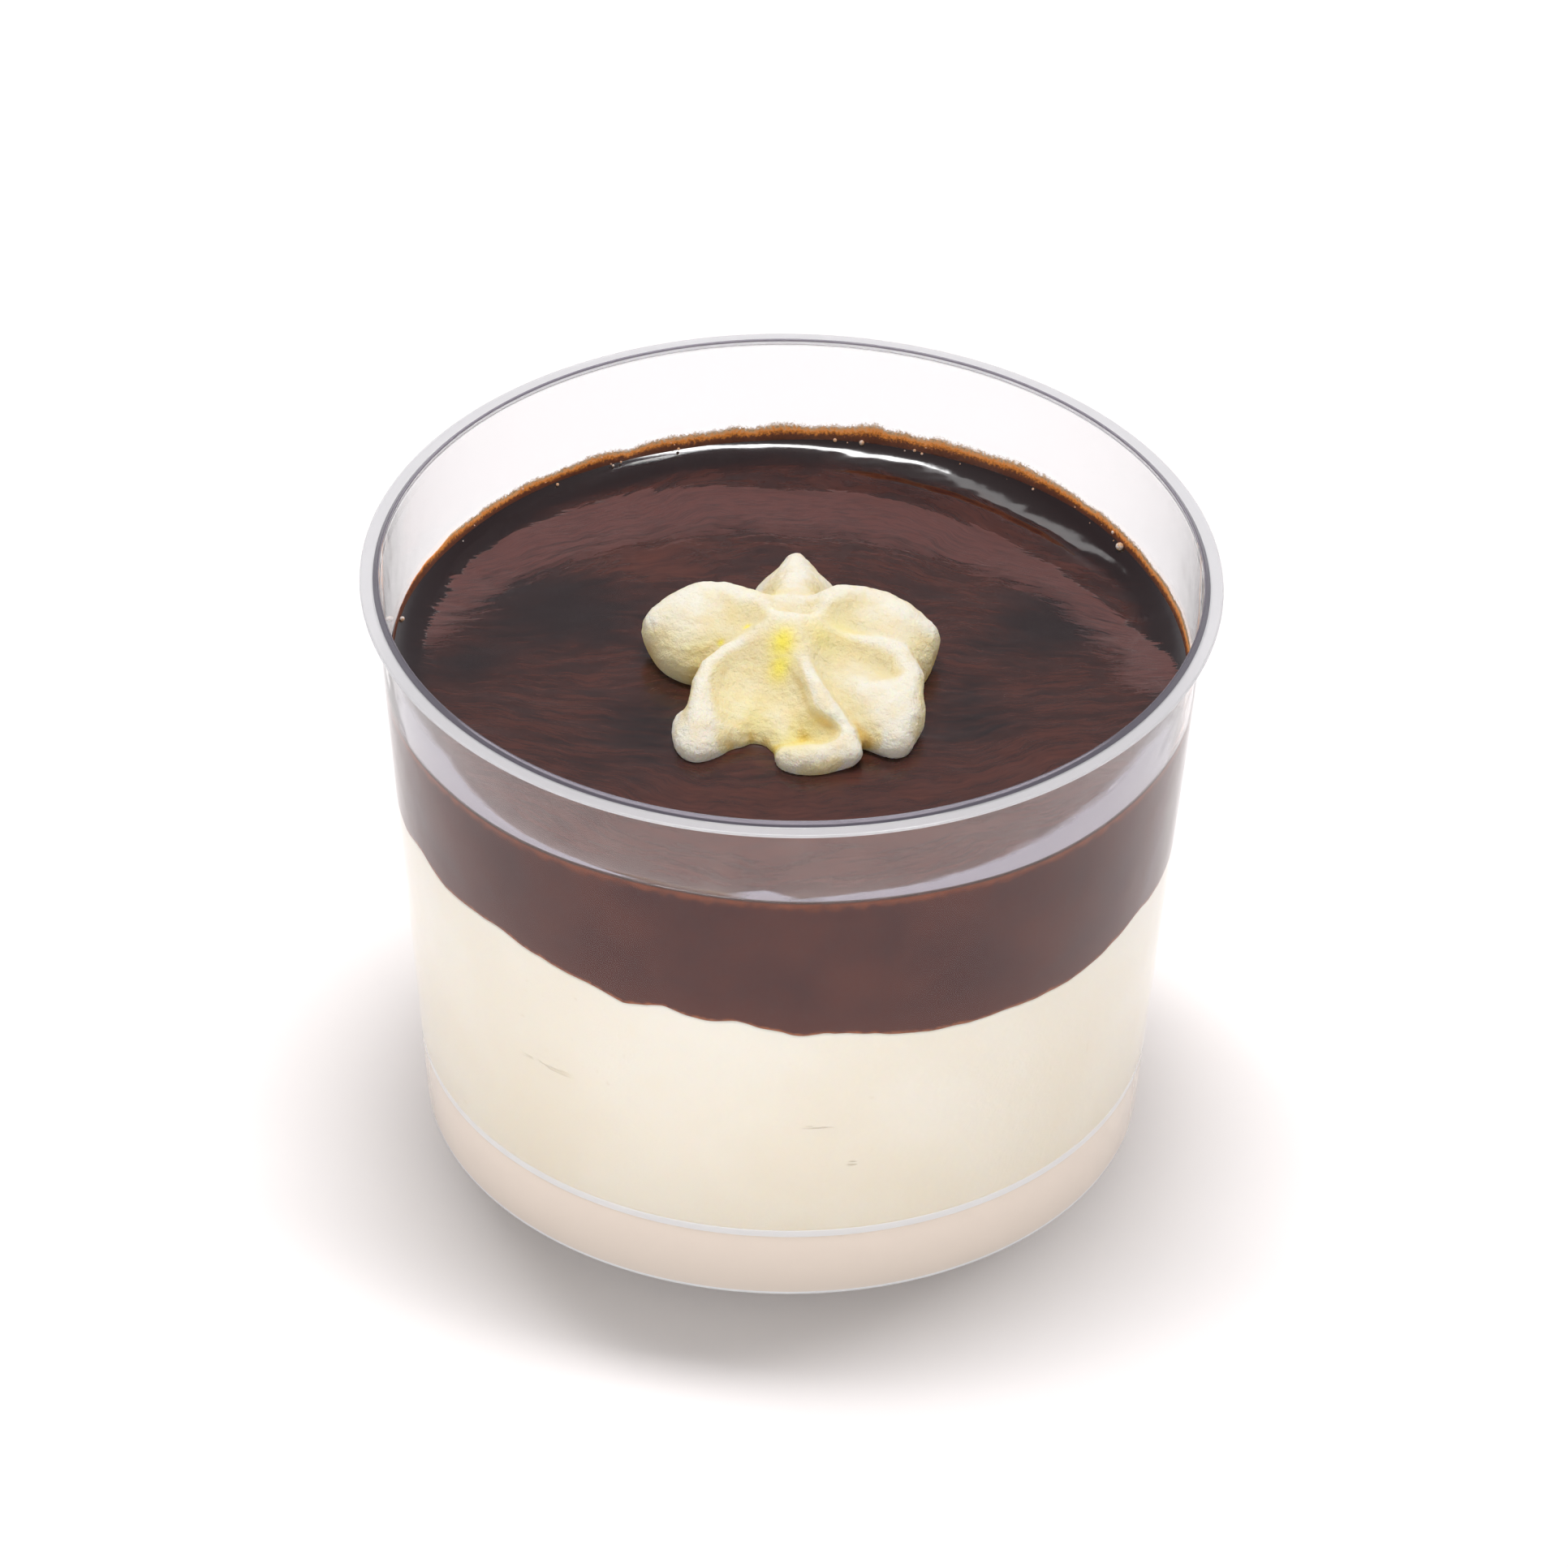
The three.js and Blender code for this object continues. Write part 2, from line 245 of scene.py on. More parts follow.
def band_mesh(name: str, rings: np.ndarray, heights: np.ndarray) -> bpy.types.Object:
    """Closed band round the axis, whose last ring joins its first.

    Args:
        name: Name of the object and of its mesh.
        rings: Points by ring, then by column, up the outside and down the inside.
        heights: The film trait of each point.

    Returns:
        The object, in the scene.
    """
    count, columns = rings.shape[:2]
    faces: Faces = []
    for ring in range(count):
        faces += ring_faces(ring * columns, (ring + 1) % count * columns, columns)
    piece = mesh_piece(name, rings.reshape(-1, 3), faces, {Trait.FILM: heights.ravel()})
    piece.data.shade_smooth()
    return piece


def hand_over(piece: bpy.types.Object, slot: Slot, *nodes: str) -> bpy.types.Object:
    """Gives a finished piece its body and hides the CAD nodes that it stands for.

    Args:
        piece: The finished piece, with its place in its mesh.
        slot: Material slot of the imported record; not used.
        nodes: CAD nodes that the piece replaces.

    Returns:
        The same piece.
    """
    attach(piece, BODY)
    if nodes:
        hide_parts(*nodes)
    return piece


# Node trees


class NodeBoard:
    """A node tree, built node by node."""

    def __init__(self, tree: bpy.types.NodeTree) -> None:
        """Takes over a tree and empties it."""
        self.tree = tree
        self.tree.nodes.clear()

    def feed(self, target: Socket, value: object) -> None:
        """Links a socket to the target, or sets the target's own value.

        Args:
            target: Input of a node.
            value: An output of another node, or a plain value; a colour needs no alpha.
        """
        if isinstance(value, Socket):
            self.tree.links.new(value, target)
        elif isinstance(value, tuple) and len(value) == 3 and target.type == "RGBA":
            target.default_value = (*value, 1.0)
        else:
            target.default_value = value

    def node(self, kind: str, inputs: Inputs | None = None, **settings: object) -> bpy.types.Node:
        """Adds a node.

        Args:
            kind: Blender's name of the node type.
            inputs: Values or sockets for its inputs, by name or place.
            settings: The node's own properties.

        Returns:
            The node.
        """
        made = self.tree.nodes.new(kind)
        for key, value in settings.items():
            setattr(made, key, value)
        for key, value in (inputs or {}).items():
            self.feed(made.inputs[key], value)
        return made

    def math(self, operation: str, *values: object) -> Socket:
        """Result of a Math node on the given values."""
        return self.node("ShaderNodeMath", dict(enumerate(values)), operation=operation).outputs[0]

    def ramp(self, value: Socket, stops: Sequence[tuple[float, Colour]]) -> Socket:
        """Colour read from stops by a value.

        Args:
            value: Value from 0 to 1.
            stops: Places and colours, in rising order.

        Returns:
            The colour.
        """
        made = self.node("ShaderNodeValToRGB", {"Fac": value})
        elements = made.color_ramp.elements
        while len(elements) < len(stops):
            elements.new(0.5)
        for element, (place, colour) in zip(elements, stops):
            element.position = place
            element.color = (*colour, 1.0)
        return made.outputs["Color"]


class ShaderBoard(NodeBoard):
    """A material's node tree."""

    def __init__(self, name: str) -> None:
        """Starts a material with an empty tree and an output."""
        self.material = bpy.data.materials.new(name)
        self.material.use_nodes = True
        super().__init__(self.material.node_tree)
        self.output = self.tree.nodes.new("ShaderNodeOutputMaterial")
        self.place = self.tree.nodes.new("ShaderNodeTexCoord").outputs["Object"]

    def vector(self, operation: str, *values: object) -> Socket:
        """Vector result of a Vector Math node on the given values."""
        return self.node("ShaderNodeVectorMath", dict(enumerate(values)), operation=operation).outputs["Vector"]

    def trait(self, trait: Trait) -> Socket:
        """Value that the mesh carries under this trait."""
        return self.node("ShaderNodeAttribute", attribute_name=trait.value).outputs["Fac"]

    def noise(self, size: float, detail: float = 2.0, rough: float = 0.5, place: Socket | None = None) -> Socket:
        """Noise from about 0 to 1.

        Args:
            size: Size of its broadest spots in millimetres, or 1 for a place that is already scaled.
            detail: Number of finer layers.
            rough: Share of the finer layers.
            place: Where to read it, or None for the object's own metres.

        Returns:
            The noise value.
        """
        scale = 1.0 / (size * MM) if place is None else 1.0 / size
        source = self.place if place is None else place
        inputs = {"Vector": source, "Scale": scale, "Detail": detail, "Roughness": rough}
        return self.node("ShaderNodeTexNoise", inputs).outputs["Fac"]

    def rise(self, value: Socket, low: float, high: float) -> Socket:
        """Smooth rise from 0 at low to 1 at high, which is a smooth fall where high is the smaller one."""
        inputs = {"Value": value, "From Min": low, "From Max": high}
        return self.node("ShaderNodeMapRange", inputs, interpolation_type="SMOOTHSTEP").outputs["Result"]

    def blend(self, share: object, first: object, second: object) -> Socket:
        """Mixed colour.

        Args:
            share: Share of the second colour.
            first: Colour at a share of 0.
            second: Colour at a share of 1.

        Returns:
            The colour.
        """
        made = self.node("ShaderNodeMix", data_type="RGBA")
        sockets = [s for s in made.inputs if s.enabled]
        for target, value in zip(sockets, (share, first, second)):
            self.feed(target, value)
        return next(s for s in made.outputs if s.enabled)

    def bump(self, height: Socket, depth: float, under: Socket | None = None) -> Socket:
        """Normal bent by a height.

        Args:
            height: Height from 0 to 1.
            depth: Depth in millimetres that a height of 1 stands for.
            under: Normal that is bent further, or None for the mesh's own.

        Returns:
            The bent normal.
        """
        inputs: Inputs = {"Height": height, "Distance": depth * MM}
        if under is not None:
            inputs["Normal"] = under
        return self.node("ShaderNodeBump", inputs).outputs["Normal"]

    def principled(self, **inputs: object) -> Socket:
        """Principled shader, its inputs named with _ for a space."""
        named = {key.replace("_", " "): value for key, value in inputs.items()}
        return self.node("ShaderNodeBsdfPrincipled", named).outputs["BSDF"]

    def finish(self, surface: Socket) -> bpy.types.Material:
        """Connects the surface to the output and returns the material."""
        self.feed(self.output.inputs["Surface"], surface)
        return self.material


class GeometryBoard(NodeBoard):
    """A Geometry Nodes tree with named inputs."""

    def __init__(self, name: str) -> None:
        """Starts a tree that takes and gives a geometry."""
        super().__init__(bpy.data.node_groups.new(name, "GeometryNodeTree"))
        for way in ("INPUT", "OUTPUT"):
            self.tree.interface.new_socket(name="Geometry", in_out=way, socket_type="NodeSocketGeometry")
        self.start = self.tree.nodes.new("NodeGroupInput")
        self.end = self.tree.nodes.new("NodeGroupOutput")
        self.values: dict[str, object] = {}

    def size(self, name: str, value: float | int) -> Socket:
        """Adds a named input and the value that the modifier gives it.

        Args:
            name: Name of the input.
            value: A whole number for a count, otherwise a length in metres or a share.

        Returns:
            The input's socket inside the tree.
        """
        kind = "NodeSocketInt" if isinstance(value, int) else "NodeSocketFloat"
        made = self.tree.interface.new_socket(name=name, in_out="INPUT", socket_type=kind)
        self.values[made.identifier] = value
        return self.start.outputs[name]

    def polar_point(self, radius: Socket, angle: Socket, height: Socket) -> Socket:
        """Point in the frame.

        Args:
            radius: Distance from the axis.
            angle: Direction in radians.
            height: Height.

        Returns:
            The point.
        """
        x = self.math("MULTIPLY", radius, self.math("COSINE", angle))
        y = self.math("MULTIPLY", radius, self.math("SINE", angle))
        return self.node("ShaderNodeCombineXYZ", {"X": x, "Y": y, "Z": height}).outputs[0]

    def random(self, low: Socket | float, high: Socket | float, seed: int) -> Socket:
        """Random number for each point.

        Args:
            low: Smallest value.
            high: Largest value.
            seed: Seed of the draw.

        Returns:
            The number.
        """
        made = self.node("FunctionNodeRandomValue", data_type="FLOAT")
        sockets = {s.name: s for s in made.inputs if s.enabled}
        for key, value in (("Min", low), ("Max", high), ("Seed", seed)):
            self.feed(sockets[key], value)
        return next(s for s in made.outputs if s.enabled)

    def grow(
        self, geometry: Socket, material: bpy.types.Material, name: str, seed_mesh: bpy.types.Mesh
    ) -> bpy.types.Object:
        """Ends the tree, runs it on a mesh and keeps the result as a plain mesh.

        Args:
            geometry: The tree's last geometry.
            material: Material of all its faces.
            name: Name of the piece.
            seed_mesh: Mesh that the tree starts from.

        Returns:
            The finished piece, in the scene, with no modifier.
        """
        whole = self.node("GeometryNodeRealizeInstances", {"Geometry": geometry}).outputs[0]
        dressed = self.node("GeometryNodeSetMaterial", {"Geometry": whole, "Material": material}).outputs[0]
        self.tree.links.new(dressed, self.end.inputs[0])
        grower = bpy.data.objects.new(name + "_grower", seed_mesh)
        bpy.context.scene.collection.objects.link(grower)
        modifier = grower.modifiers.new("grow", "NODES")
        modifier.node_group = self.tree
        for identifier, value in self.values.items():
            modifier[identifier] = value
        evaluated = grower.evaluated_get(bpy.context.evaluated_depsgraph_get())
        mesh = bpy.data.meshes.new_from_object(evaluated)
        grower.modifiers.clear()
        bpy.data.objects.remove(grower)
        mesh.name = name
        piece = bpy.data.objects.new(name, mesh)
        bpy.context.scene.collection.objects.link(piece)
        return piece


# Finishes


@dataclass(frozen=True)
class ClearPlastic:
    """Thin injection-moulded polystyrene: clear, glossy, with a faint haze and moulding waves."""

    tint: Colour = (0.992, 0.994, 0.998)
    roughness: float = 0.02
    refraction: float = 1.5
    haze: float = 0.004
    wave_size: float = 9.0
    wave_depth: float = 0.12
    smear_size: float = 6.0
    smear_span: Span = (0.52, 0.8)
    smear_roughness: float = 0.05
    passing: Colour = (0.985, 0.985, 0.99)
    name: str = "clear_plastic"

    def material(self) -> bpy.types.Material:
        """Builds the material. Lamps and soft light pass straight through to the food.

        Returns:
            The material.
        """
        board = ShaderBoard(self.name)
        smear = board.rise(board.noise(self.smear_size, 4.0, 0.65), *self.smear_span)
        surface = board.principled(
            Base_Color=self.tint,
            Roughness=board.math("MULTIPLY_ADD", smear, self.smear_roughness, self.roughness),
            IOR=self.refraction,
            Transmission_Weight=1.0 - self.haze,
            Normal=board.bump(board.noise(self.wave_size), self.wave_depth),
        )
        path = board.node("ShaderNodeLightPath")
        through = board.node("ShaderNodeBsdfTransparent", {"Color": self.passing}).outputs[0]
        for ray in ("Is Shadow Ray", "Is Diffuse Ray"):
            inputs: Inputs = {0: path.outputs[ray], 1: surface, 2: through}
            surface = board.node("ShaderNodeMixShader", inputs).outputs[0]
        return board.finish(surface)


@dataclass(frozen=True)
class Scrape:
    """Small place where the cream was scraped, as the middle and the half lengths of an ellipsoid."""

    middle: Point
    reach: Point


@dataclass(frozen=True)
class VanillaCream:
    """Smooth set cream pressed against the wall: ivory, warmer towards the floor, with fine pores."""

    pale: Colour = (0.87, 0.82, 0.71)
    warm: Colour = (0.83, 0.75, 0.60)
    pore: Colour = (0.72, 0.62, 0.46)
    roughness: float = 0.42
    softness: float = 0.3
    soft_radii: Point = (1.0, 0.7, 0.4)
    soft_depth: float = 1.2
    cloud_size: float = 16.0
    cloud_span: Span = (0.35, 0.7)
    cloud_share: float = 0.5
    warm_below: float = 34.0
    warmest_below: float = 12.0
    fleck_size: float = 1.6
    fleck_span: Span = (0.66, 0.8)
    fleck_share: float = 0.35
    stroke_size: Point = (5.0, 5.0, 0.6)
    stroke_span: Span = (0.52, 0.60)
    scrape_span: Span = (0.0, 0.3)
    mark_share: float = 0.6
    mark_depth: float = 0.12
    dimple_size: float = 2.4
    dimple_depth: float = 0.12
    grain_size: float = 0.35
    grain_depth: float = 0.02
    scrapes: tuple[Scrape, ...] = (
        Scrape((-23.5, -30.0, 23.1), (4.4, 5.0, 1.5)),
        Scrape((3.4, -37.6, 21.8), (2.6, 4.0, 0.9)),
        Scrape((7.0, -36.6, 17.0), (0.8, 3.0, 0.6)),
    )

    def scraped(self, board: ShaderBoard) -> Socket:
        """Finds the few small places where the cream was scraped.

        Args:
            board: The material's board.

        Returns:
            A share of one in these places, fading to nothing around them.
        """
        share: Socket | float = 0.0
        for scrape in self.scrapes:
            away = board.vector("SUBTRACT", board.place, tuple(v * MM for v in scrape.middle))
            away = board.vector("DIVIDE", away, tuple(v * MM for v in scrape.reach))
            spot = board.node("ShaderNodeTexGradient", {"Vector": away}, gradient_type="QUADRATIC_SPHERE")
            share = board.math("ADD", share, board.rise(spot.outputs["Fac"], *self.scrape_span))
        return share

    def material(self) -> bpy.types.Material:
        """Builds the material.

        Returns:
            The material.
        """
        board = ShaderBoard("vanilla_cream")
        cloud = board.rise(board.noise(self.cloud_size, 3.0), *self.cloud_span)
        fleck = board.rise(board.noise(self.fleck_size, 3.0, 0.6), *self.fleck_span)
        level = board.node("ShaderNodeSeparateXYZ", {0: board.place}).outputs["Z"]
        lower = board.rise(level, self.warm_below * MM, self.warmest_below * MM)
        clouded = board.math("MULTIPLY", cloud, self.cloud_share)
        deeper = board.math("MULTIPLY_ADD", lower, 1.0 - self.cloud_share, clouded)
        colour = board.blend(deeper, self.pale, self.warm)
        colour = board.blend(board.math("MULTIPLY", fleck, self.fleck_share), colour, self.pore)
        stretched = board.vector("DIVIDE", board.place, tuple(v * MM for v in self.stroke_size))
        strokes = board.rise(board.noise(1.0, 3.0, 0.6, stretched), *self.stroke_span)
        marks = board.math("MULTIPLY", strokes, self.scraped(board))
        colour = board.blend(board.math("MULTIPLY", marks, self.mark_share), colour, self.pore)
        grainy = board.bump(board.noise(self.grain_size, 3.0, 0.6), self.grain_depth)
        dimpled = board.bump(board.noise(self.dimple_size, 3.0, 0.55), self.dimple_depth, under=grainy)
        surface = board.principled(
            Base_Color=colour,
            Roughness=self.roughness,
            Subsurface_Weight=self.softness,
            Subsurface_Radius=self.soft_radii,
            Subsurface_Scale=self.soft_depth * MM,
            Normal=board.bump(marks, -self.mark_depth, under=dimpled),
        )
        return board.finish(surface)


@dataclass(frozen=True)
class Fibre:
    """Sizes of one layer of drawn-out strokes, and the number of its finer layers."""

    width: float
    length: float
    detail: float


@dataclass(frozen=True)
class ChocolateSauce:
    """Dark chocolate sauce with a thin skin: matt and wrinkled where it dried, glossy along the wall.
    Where it dried it is painted a lighter brown, partly the skin's own tone and partly a painted sheen of the light
    behind the cup.

    Against the wall it has no sheen of its own, as no air lies between the two.
    """

    deep: Colour = (0.014, 0.006, 0.006)
    ember: Colour = (0.092, 0.024, 0.015)
    # Lighter browns of the dried crescent: partly the skin's own tone, partly painted sheen.
    dry_sheen: Colour = (0.096, 0.026, 0.021)
    dry_sheen_dim: Colour = (0.070, 0.019, 0.016)
    body: Colour = (0.054, 0.012, 0.010)
    warm: Colour = (0.084, 0.020, 0.013)
    contact: Colour = (0.20, 0.050, 0.018)
    seam: Colour = (0.30, 0.10, 0.04)
    bend: float = 800.0
    swirl_scale: float = 75.0
    swirl: Point = (0.005, 0.008, 0.0)
    shine: float = 0.6
    fibres: tuple[Fibre, ...] = (Fibre(2.4, 8.0, 3.0), Fibre(0.65, 4.0, 4.0), Fibre(0.22, 1.8, 3.0))
    glow_mix: Point = (0.9, 0.8, 0.45)
    glow_span: Span = (0.1, 1.15)
    inner_mix: Point = (0.8, 0.9, 0.4)
    inner_span: Span = (0.3, 0.95)
    outer_mix: Point = (0.8, 1.5, 0.3)
    outer_span: Span = (0.42, 0.56)
    sheen_dim_mix: float = 0.8
    sheen_dim_span: Span = (0.38, 0.6)
    crack_span: Span = (0.40, 0.30)
    crack_share: float = 0.4
    side_span: Span = (0.0, -0.4)
    cloud_size: float = 9.0
    cloud_span: Span = (0.3, 0.75)
    low_span: Span = (6.0, 0.5)
    low_warmth: float = 0.8
    contact_rag: Span = (1.4, 1.6)
    contact_span: Span = (-1.3, -0.1)
    seam_rag: Span = (0.9, 0.9)
    seam_span: Span = (0.45, -0.05)
    refraction: float = 1.45
    roughness: float = 0.10
    dry_roughness: float = 0.18
    inner_roughness: float = 0.14
    within_span: Span = (0.0, 0.5)
    wrinkle_depth: float = 0.03
    ripple_size: float = 2.4
    ripple_depth: float = 0.02

    def streaks(self, board: ShaderBoard, fibre: Fibre) -> Socket:
        """Noise drawn out into fibres that run along X and bend towards the middle at both ends.

        Args:
            board: The material's board.
            fibre: Sizes of the strokes.

        Returns:
            The noise value.
        """
        inputs: Inputs = {"Vector": board.place, "Scale": self.swirl_scale, "Detail": 3.0}
        swirl = board.node("ShaderNodeTexNoise", inputs)
        moved = board.vector("SUBTRACT", swirl.outputs["Color"], (0.5, 0.5, 0.5))
        moved = board.vector("MULTIPLY_ADD", moved, self.swirl, board.place)
        parts = board.node("ShaderNodeSeparateXYZ", {0: moved}).outputs
        bend = board.math("MULTIPLY_ADD", board.math("MULTIPLY", parts["X"], parts["X"]), self.bend, 1.0)
        across = board.math("DIVIDE", board.math("MULTIPLY", parts["Y"], bend), fibre.width * MM)
        along = board.math("DIVIDE", parts["X"], fibre.length * MM)
        place = board.node("ShaderNodeCombineXYZ", {0: along, 1: across}).outputs[0]
        return board.noise(1.0, fibre.detail, 0.62, place)

    @staticmethod
    def ragged(board: ShaderBoard, start: Socket, size: float, depth: float) -> Socket:
        """Value with noise around 0 added.

        Args:
            board: The material's board.
            start: The value.
            size: Size of the noise's spots in millimetres.
            depth: Span of the noise.

        Returns:
            The ragged value.
        """
        noise_value = board.noise(size, 3.0, 0.6)
        return board.math("ADD", start, board.math("MULTIPLY_ADD", noise_value, depth, -0.5 * depth))

    @staticmethod
    def mixture(board: ShaderBoard, start: Socket, layers: Sequence[Socket], weights: Sequence[float]) -> Socket:
        """Value to which layers of noise around 0.5 are added.

        Args:
            board: The material's board.
            start: The value.
            layers: The layers of noise.
            weights: Their weights.

        Returns:
            The sum.
        """
        for layer, weight in zip(layers, weights):
            start = board.math("ADD", start, board.math("MULTIPLY_ADD", layer, weight, -0.5 * weight))
        return start

    def side_colour(self, board: ShaderBoard) -> Socket:
        """Colour of the sauce against the wall: warmer low down, along its top edge and over the cream.

        Args:
            board: The material's board.

        Returns:
            The colour.
        """
        above_cream, level = board.trait(Trait.SEAM), board.trait(Trait.LEVEL)
        low = board.math("MULTIPLY", board.rise(above_cream, *self.low_span), self.low_warmth)
        cloud = board.math("MAXIMUM", low, board.rise(board.noise(self.cloud_size, 3.0), *self.cloud_span))
        colour = board.blend(cloud, self.body, self.warm)
        touching = board.rise(self.ragged(board, level, *self.contact_rag), *self.contact_span)
        colour = board.blend(touching, colour, self.contact)
        parting = board.rise(self.ragged(board, above_cream, *self.seam_rag), *self.seam_span)
        return board.blend(parting, colour, self.seam)

    def material(self) -> bpy.types.Material:
        """Builds the material.

        Returns:
            The material.
        """
        board = ShaderBoard("chocolate_sauce")
        layers = [self.streaks(board, fibre) for fibre in self.fibres]
        fibre, hair = layers[1:]
        glow = self.mixture(board, board.trait(Trait.EMBER), layers, self.glow_mix)
        colour = board.blend(board.rise(glow, *self.glow_span), self.deep, self.ember)
        inner = self.mixture(board, board.trait(Trait.SHEEN_SKIN_IN), layers, self.inner_mix)
        outer = self.mixture(board, board.trait(Trait.SHEEN_SKIN_OUT), layers, self.outer_mix)
        # The dried crescent: rougher and wrinkled, and painted a lighter brown in dim and bright streaks, partly its
        # own tone and partly painted sheen.
        dry_and_sheen = board.math("MULTIPLY", board.rise(inner, *self.inner_span), board.rise(outer, *self.outer_span))
        sheen_dimming = board.rise(self.mixture(board, fibre, (hair,), (self.sheen_dim_mix,)), *self.sheen_dim_span)
        colour = board.blend(dry_and_sheen, colour, board.blend(sheen_dimming, self.dry_sheen_dim, self.dry_sheen))
        cracks = board.math("MULTIPLY", board.rise(hair, *self.crack_span), dry_and_sheen)
        colour = board.blend(board.math("MULTIPLY", cracks, self.crack_share), colour, self.deep)
        side = board.rise(board.trait(Trait.LEVEL), *self.side_span)
        colour = board.blend(side, colour, self.side_colour(board))
        within = board.rise(board.trait(Trait.SHEEN_SKIN_OUT), *self.within_span)
        roughness = board.math("MULTIPLY_ADD", dry_and_sheen, self.dry_roughness, self.roughness)
        rippled = board.bump(board.noise(self.ripple_size), self.ripple_depth)
        surface = board.principled(
            Base_Color=colour,
            Roughness=board.math("MULTIPLY_ADD", within, self.inner_roughness, roughness),
            IOR=self.refraction,
            Specular_IOR_Level=board.math("MULTIPLY_ADD", side, -self.shine, self.shine),
            Normal=board.bump(board.math("MULTIPLY", hair, dry_and_sheen), self.wrinkle_depth, under=rippled),
        )
        return board.finish(surface)


@dataclass(frozen=True)
class WhippedCream:
    """Piped whipped cream: pale ivory and finely porous, with painted light and shade: whiter on its crests and
    up-facing parts, a deeper painted gold in its folds, on its sides and in a few valleys.
    """

    # Painted light and shade: the first tone on crests and up-facing parts, the third, darker gold one in folds and
    # on side-facing parts, where it also tints random mottle; the last, a painted golden glow in a few valleys.
    crest_light: Colour = (0.87, 0.82, 0.69)
    flesh: Colour = (0.84, 0.73, 0.44)
    fold: Colour = (0.80, 0.56, 0.17)
    valley_glow: Colour = (0.95, 0.80, 0.10)
    roughness: float = 0.55
    softness: float = 0.4
    soft_radii: Point = (1.0, 0.65, 0.25)
    soft_depth: float = 0.9
    mottle_size: float = 2.2
    mottle_span: Span = (0.4, 0.75)
    mottle_share: float = 0.25
    fluff_size: float = 1.1
    fluff_depth: float = 0.3
    pore_size: float = 0.34
    pore_depth: float = 0.22

    def material(self) -> bpy.types.Material:
        """Builds the material.

        Returns:
            The material.
        """
        board = ShaderBoard("whipped_cream")
        # Painted light and shade: lighter on crests and up-facing parts, a darker gold in folds and on side-facing
        # parts.
        stops = [(0.0, self.fold), (0.4, self.flesh), (0.6, self.flesh), (0.85, self.crest_light)]
        colour = board.ramp(board.trait(Trait.CREST_SHADING), stops)
        mottle = board.rise(board.noise(self.mottle_size, 3.0), *self.mottle_span)
        colour = board.blend(board.math("MULTIPLY", mottle, self.mottle_share), colour, self.fold)
        # Painted golden glow and shade in a few valleys.
        colour = board.blend(board.trait(Trait.VALLEY_GLOW), colour, self.valley_glow)
        porous = board.bump(board.noise(self.pore_size, 4.0, 0.7), self.pore_depth)
        surface = board.principled(
            Base_Color=colour,
            Roughness=self.roughness,
            Subsurface_Weight=self.softness,
            Subsurface_Radius=self.soft_radii,
            Subsurface_Scale=self.soft_depth * MM,
            Normal=board.bump(board.noise(self.fluff_size, 3.0, 0.6), self.fluff_depth, under=porous),
        )
        return board.finish(surface)


@dataclass(frozen=True)
class CaramelFilm:
    """Sauce that ran back down the wall: brown at its foot, orange, then a grainy fade to nothing."""

    foot: Colour = (0.07, 0.02, 0.01)
    brown: Colour = (0.16, 0.045, 0.018)
    orange: Colour = (0.97, 0.32, 0.05)
    pale: Colour = (1.0, 0.72, 0.42)
    roughness: float = 0.3
    grain_size: float = 0.3
    grain_depth: float = 0.04
    fray: float = 0.5
    cover_span: Span = (0.74, 0.48)

    def material(self) -> bpy.types.Material:
        """Builds the material.

        Returns:
            The material.
        """
        board = ShaderBoard("caramel_film")
        grain = board.noise(self.grain_size, 3.0, 0.7)
        fray = board.math("MULTIPLY_ADD", grain, self.fray, -0.5 * self.fray)
        height = board.math("ADD", board.trait(Trait.FILM), fray)
        stops = [(0.0, self.foot), (0.28, self.brown), (0.43, self.orange), (0.66, self.pale)]
        surface = board.principled(
            Base_Color=board.ramp(height, stops),
            Roughness=self.roughness,
            Alpha=board.rise(height, *self.cover_span),
            Normal=board.bump(grain, self.grain_depth),
        )
        return board.finish(surface)


@dataclass(frozen=True)
class SauceSmear:
    """Breath-thin veil of sauce on the inside of the wall, wiped along it in faint streaks."""

    veil: Colour = (0.56, 0.22, 0.17)
    pale: Colour = (0.66, 0.36, 0.30)
    roughness: float = 0.45
    cover: float = 0.062
    wipe_size: float = 5.0
    wipe_span: Span = (0.4, 0.7)
    speck_size: float = 0.5
    speck_span: Span = (0.6, 0.75)
    speck_cover: float = 0.35

    def material(self) -> bpy.types.Material:
        """Builds the material.

        Returns:
            The material.
        """
        board = ShaderBoard("sauce_smear")
        wipes = board.noise(self.wipe_size, 4.0, 0.7)
        specks = board.rise(board.noise(self.speck_size), *self.speck_span)
        tone = board.blend(board.rise(wipes, *self.wipe_span), self.veil, self.pale)
        cover = board.math("MULTIPLY", board.trait(Trait.FILM), self.cover)
        cover = board.math("MULTIPLY", cover, board.math("MULTIPLY_ADD", wipes, 1.0, 0.5))
        cover = board.math("MULTIPLY", cover, board.math("MULTIPLY_ADD", specks, self.speck_cover, 1.0))
        return board.finish(board.principled(Base_Color=tone, Roughness=self.roughness, Alpha=cover))


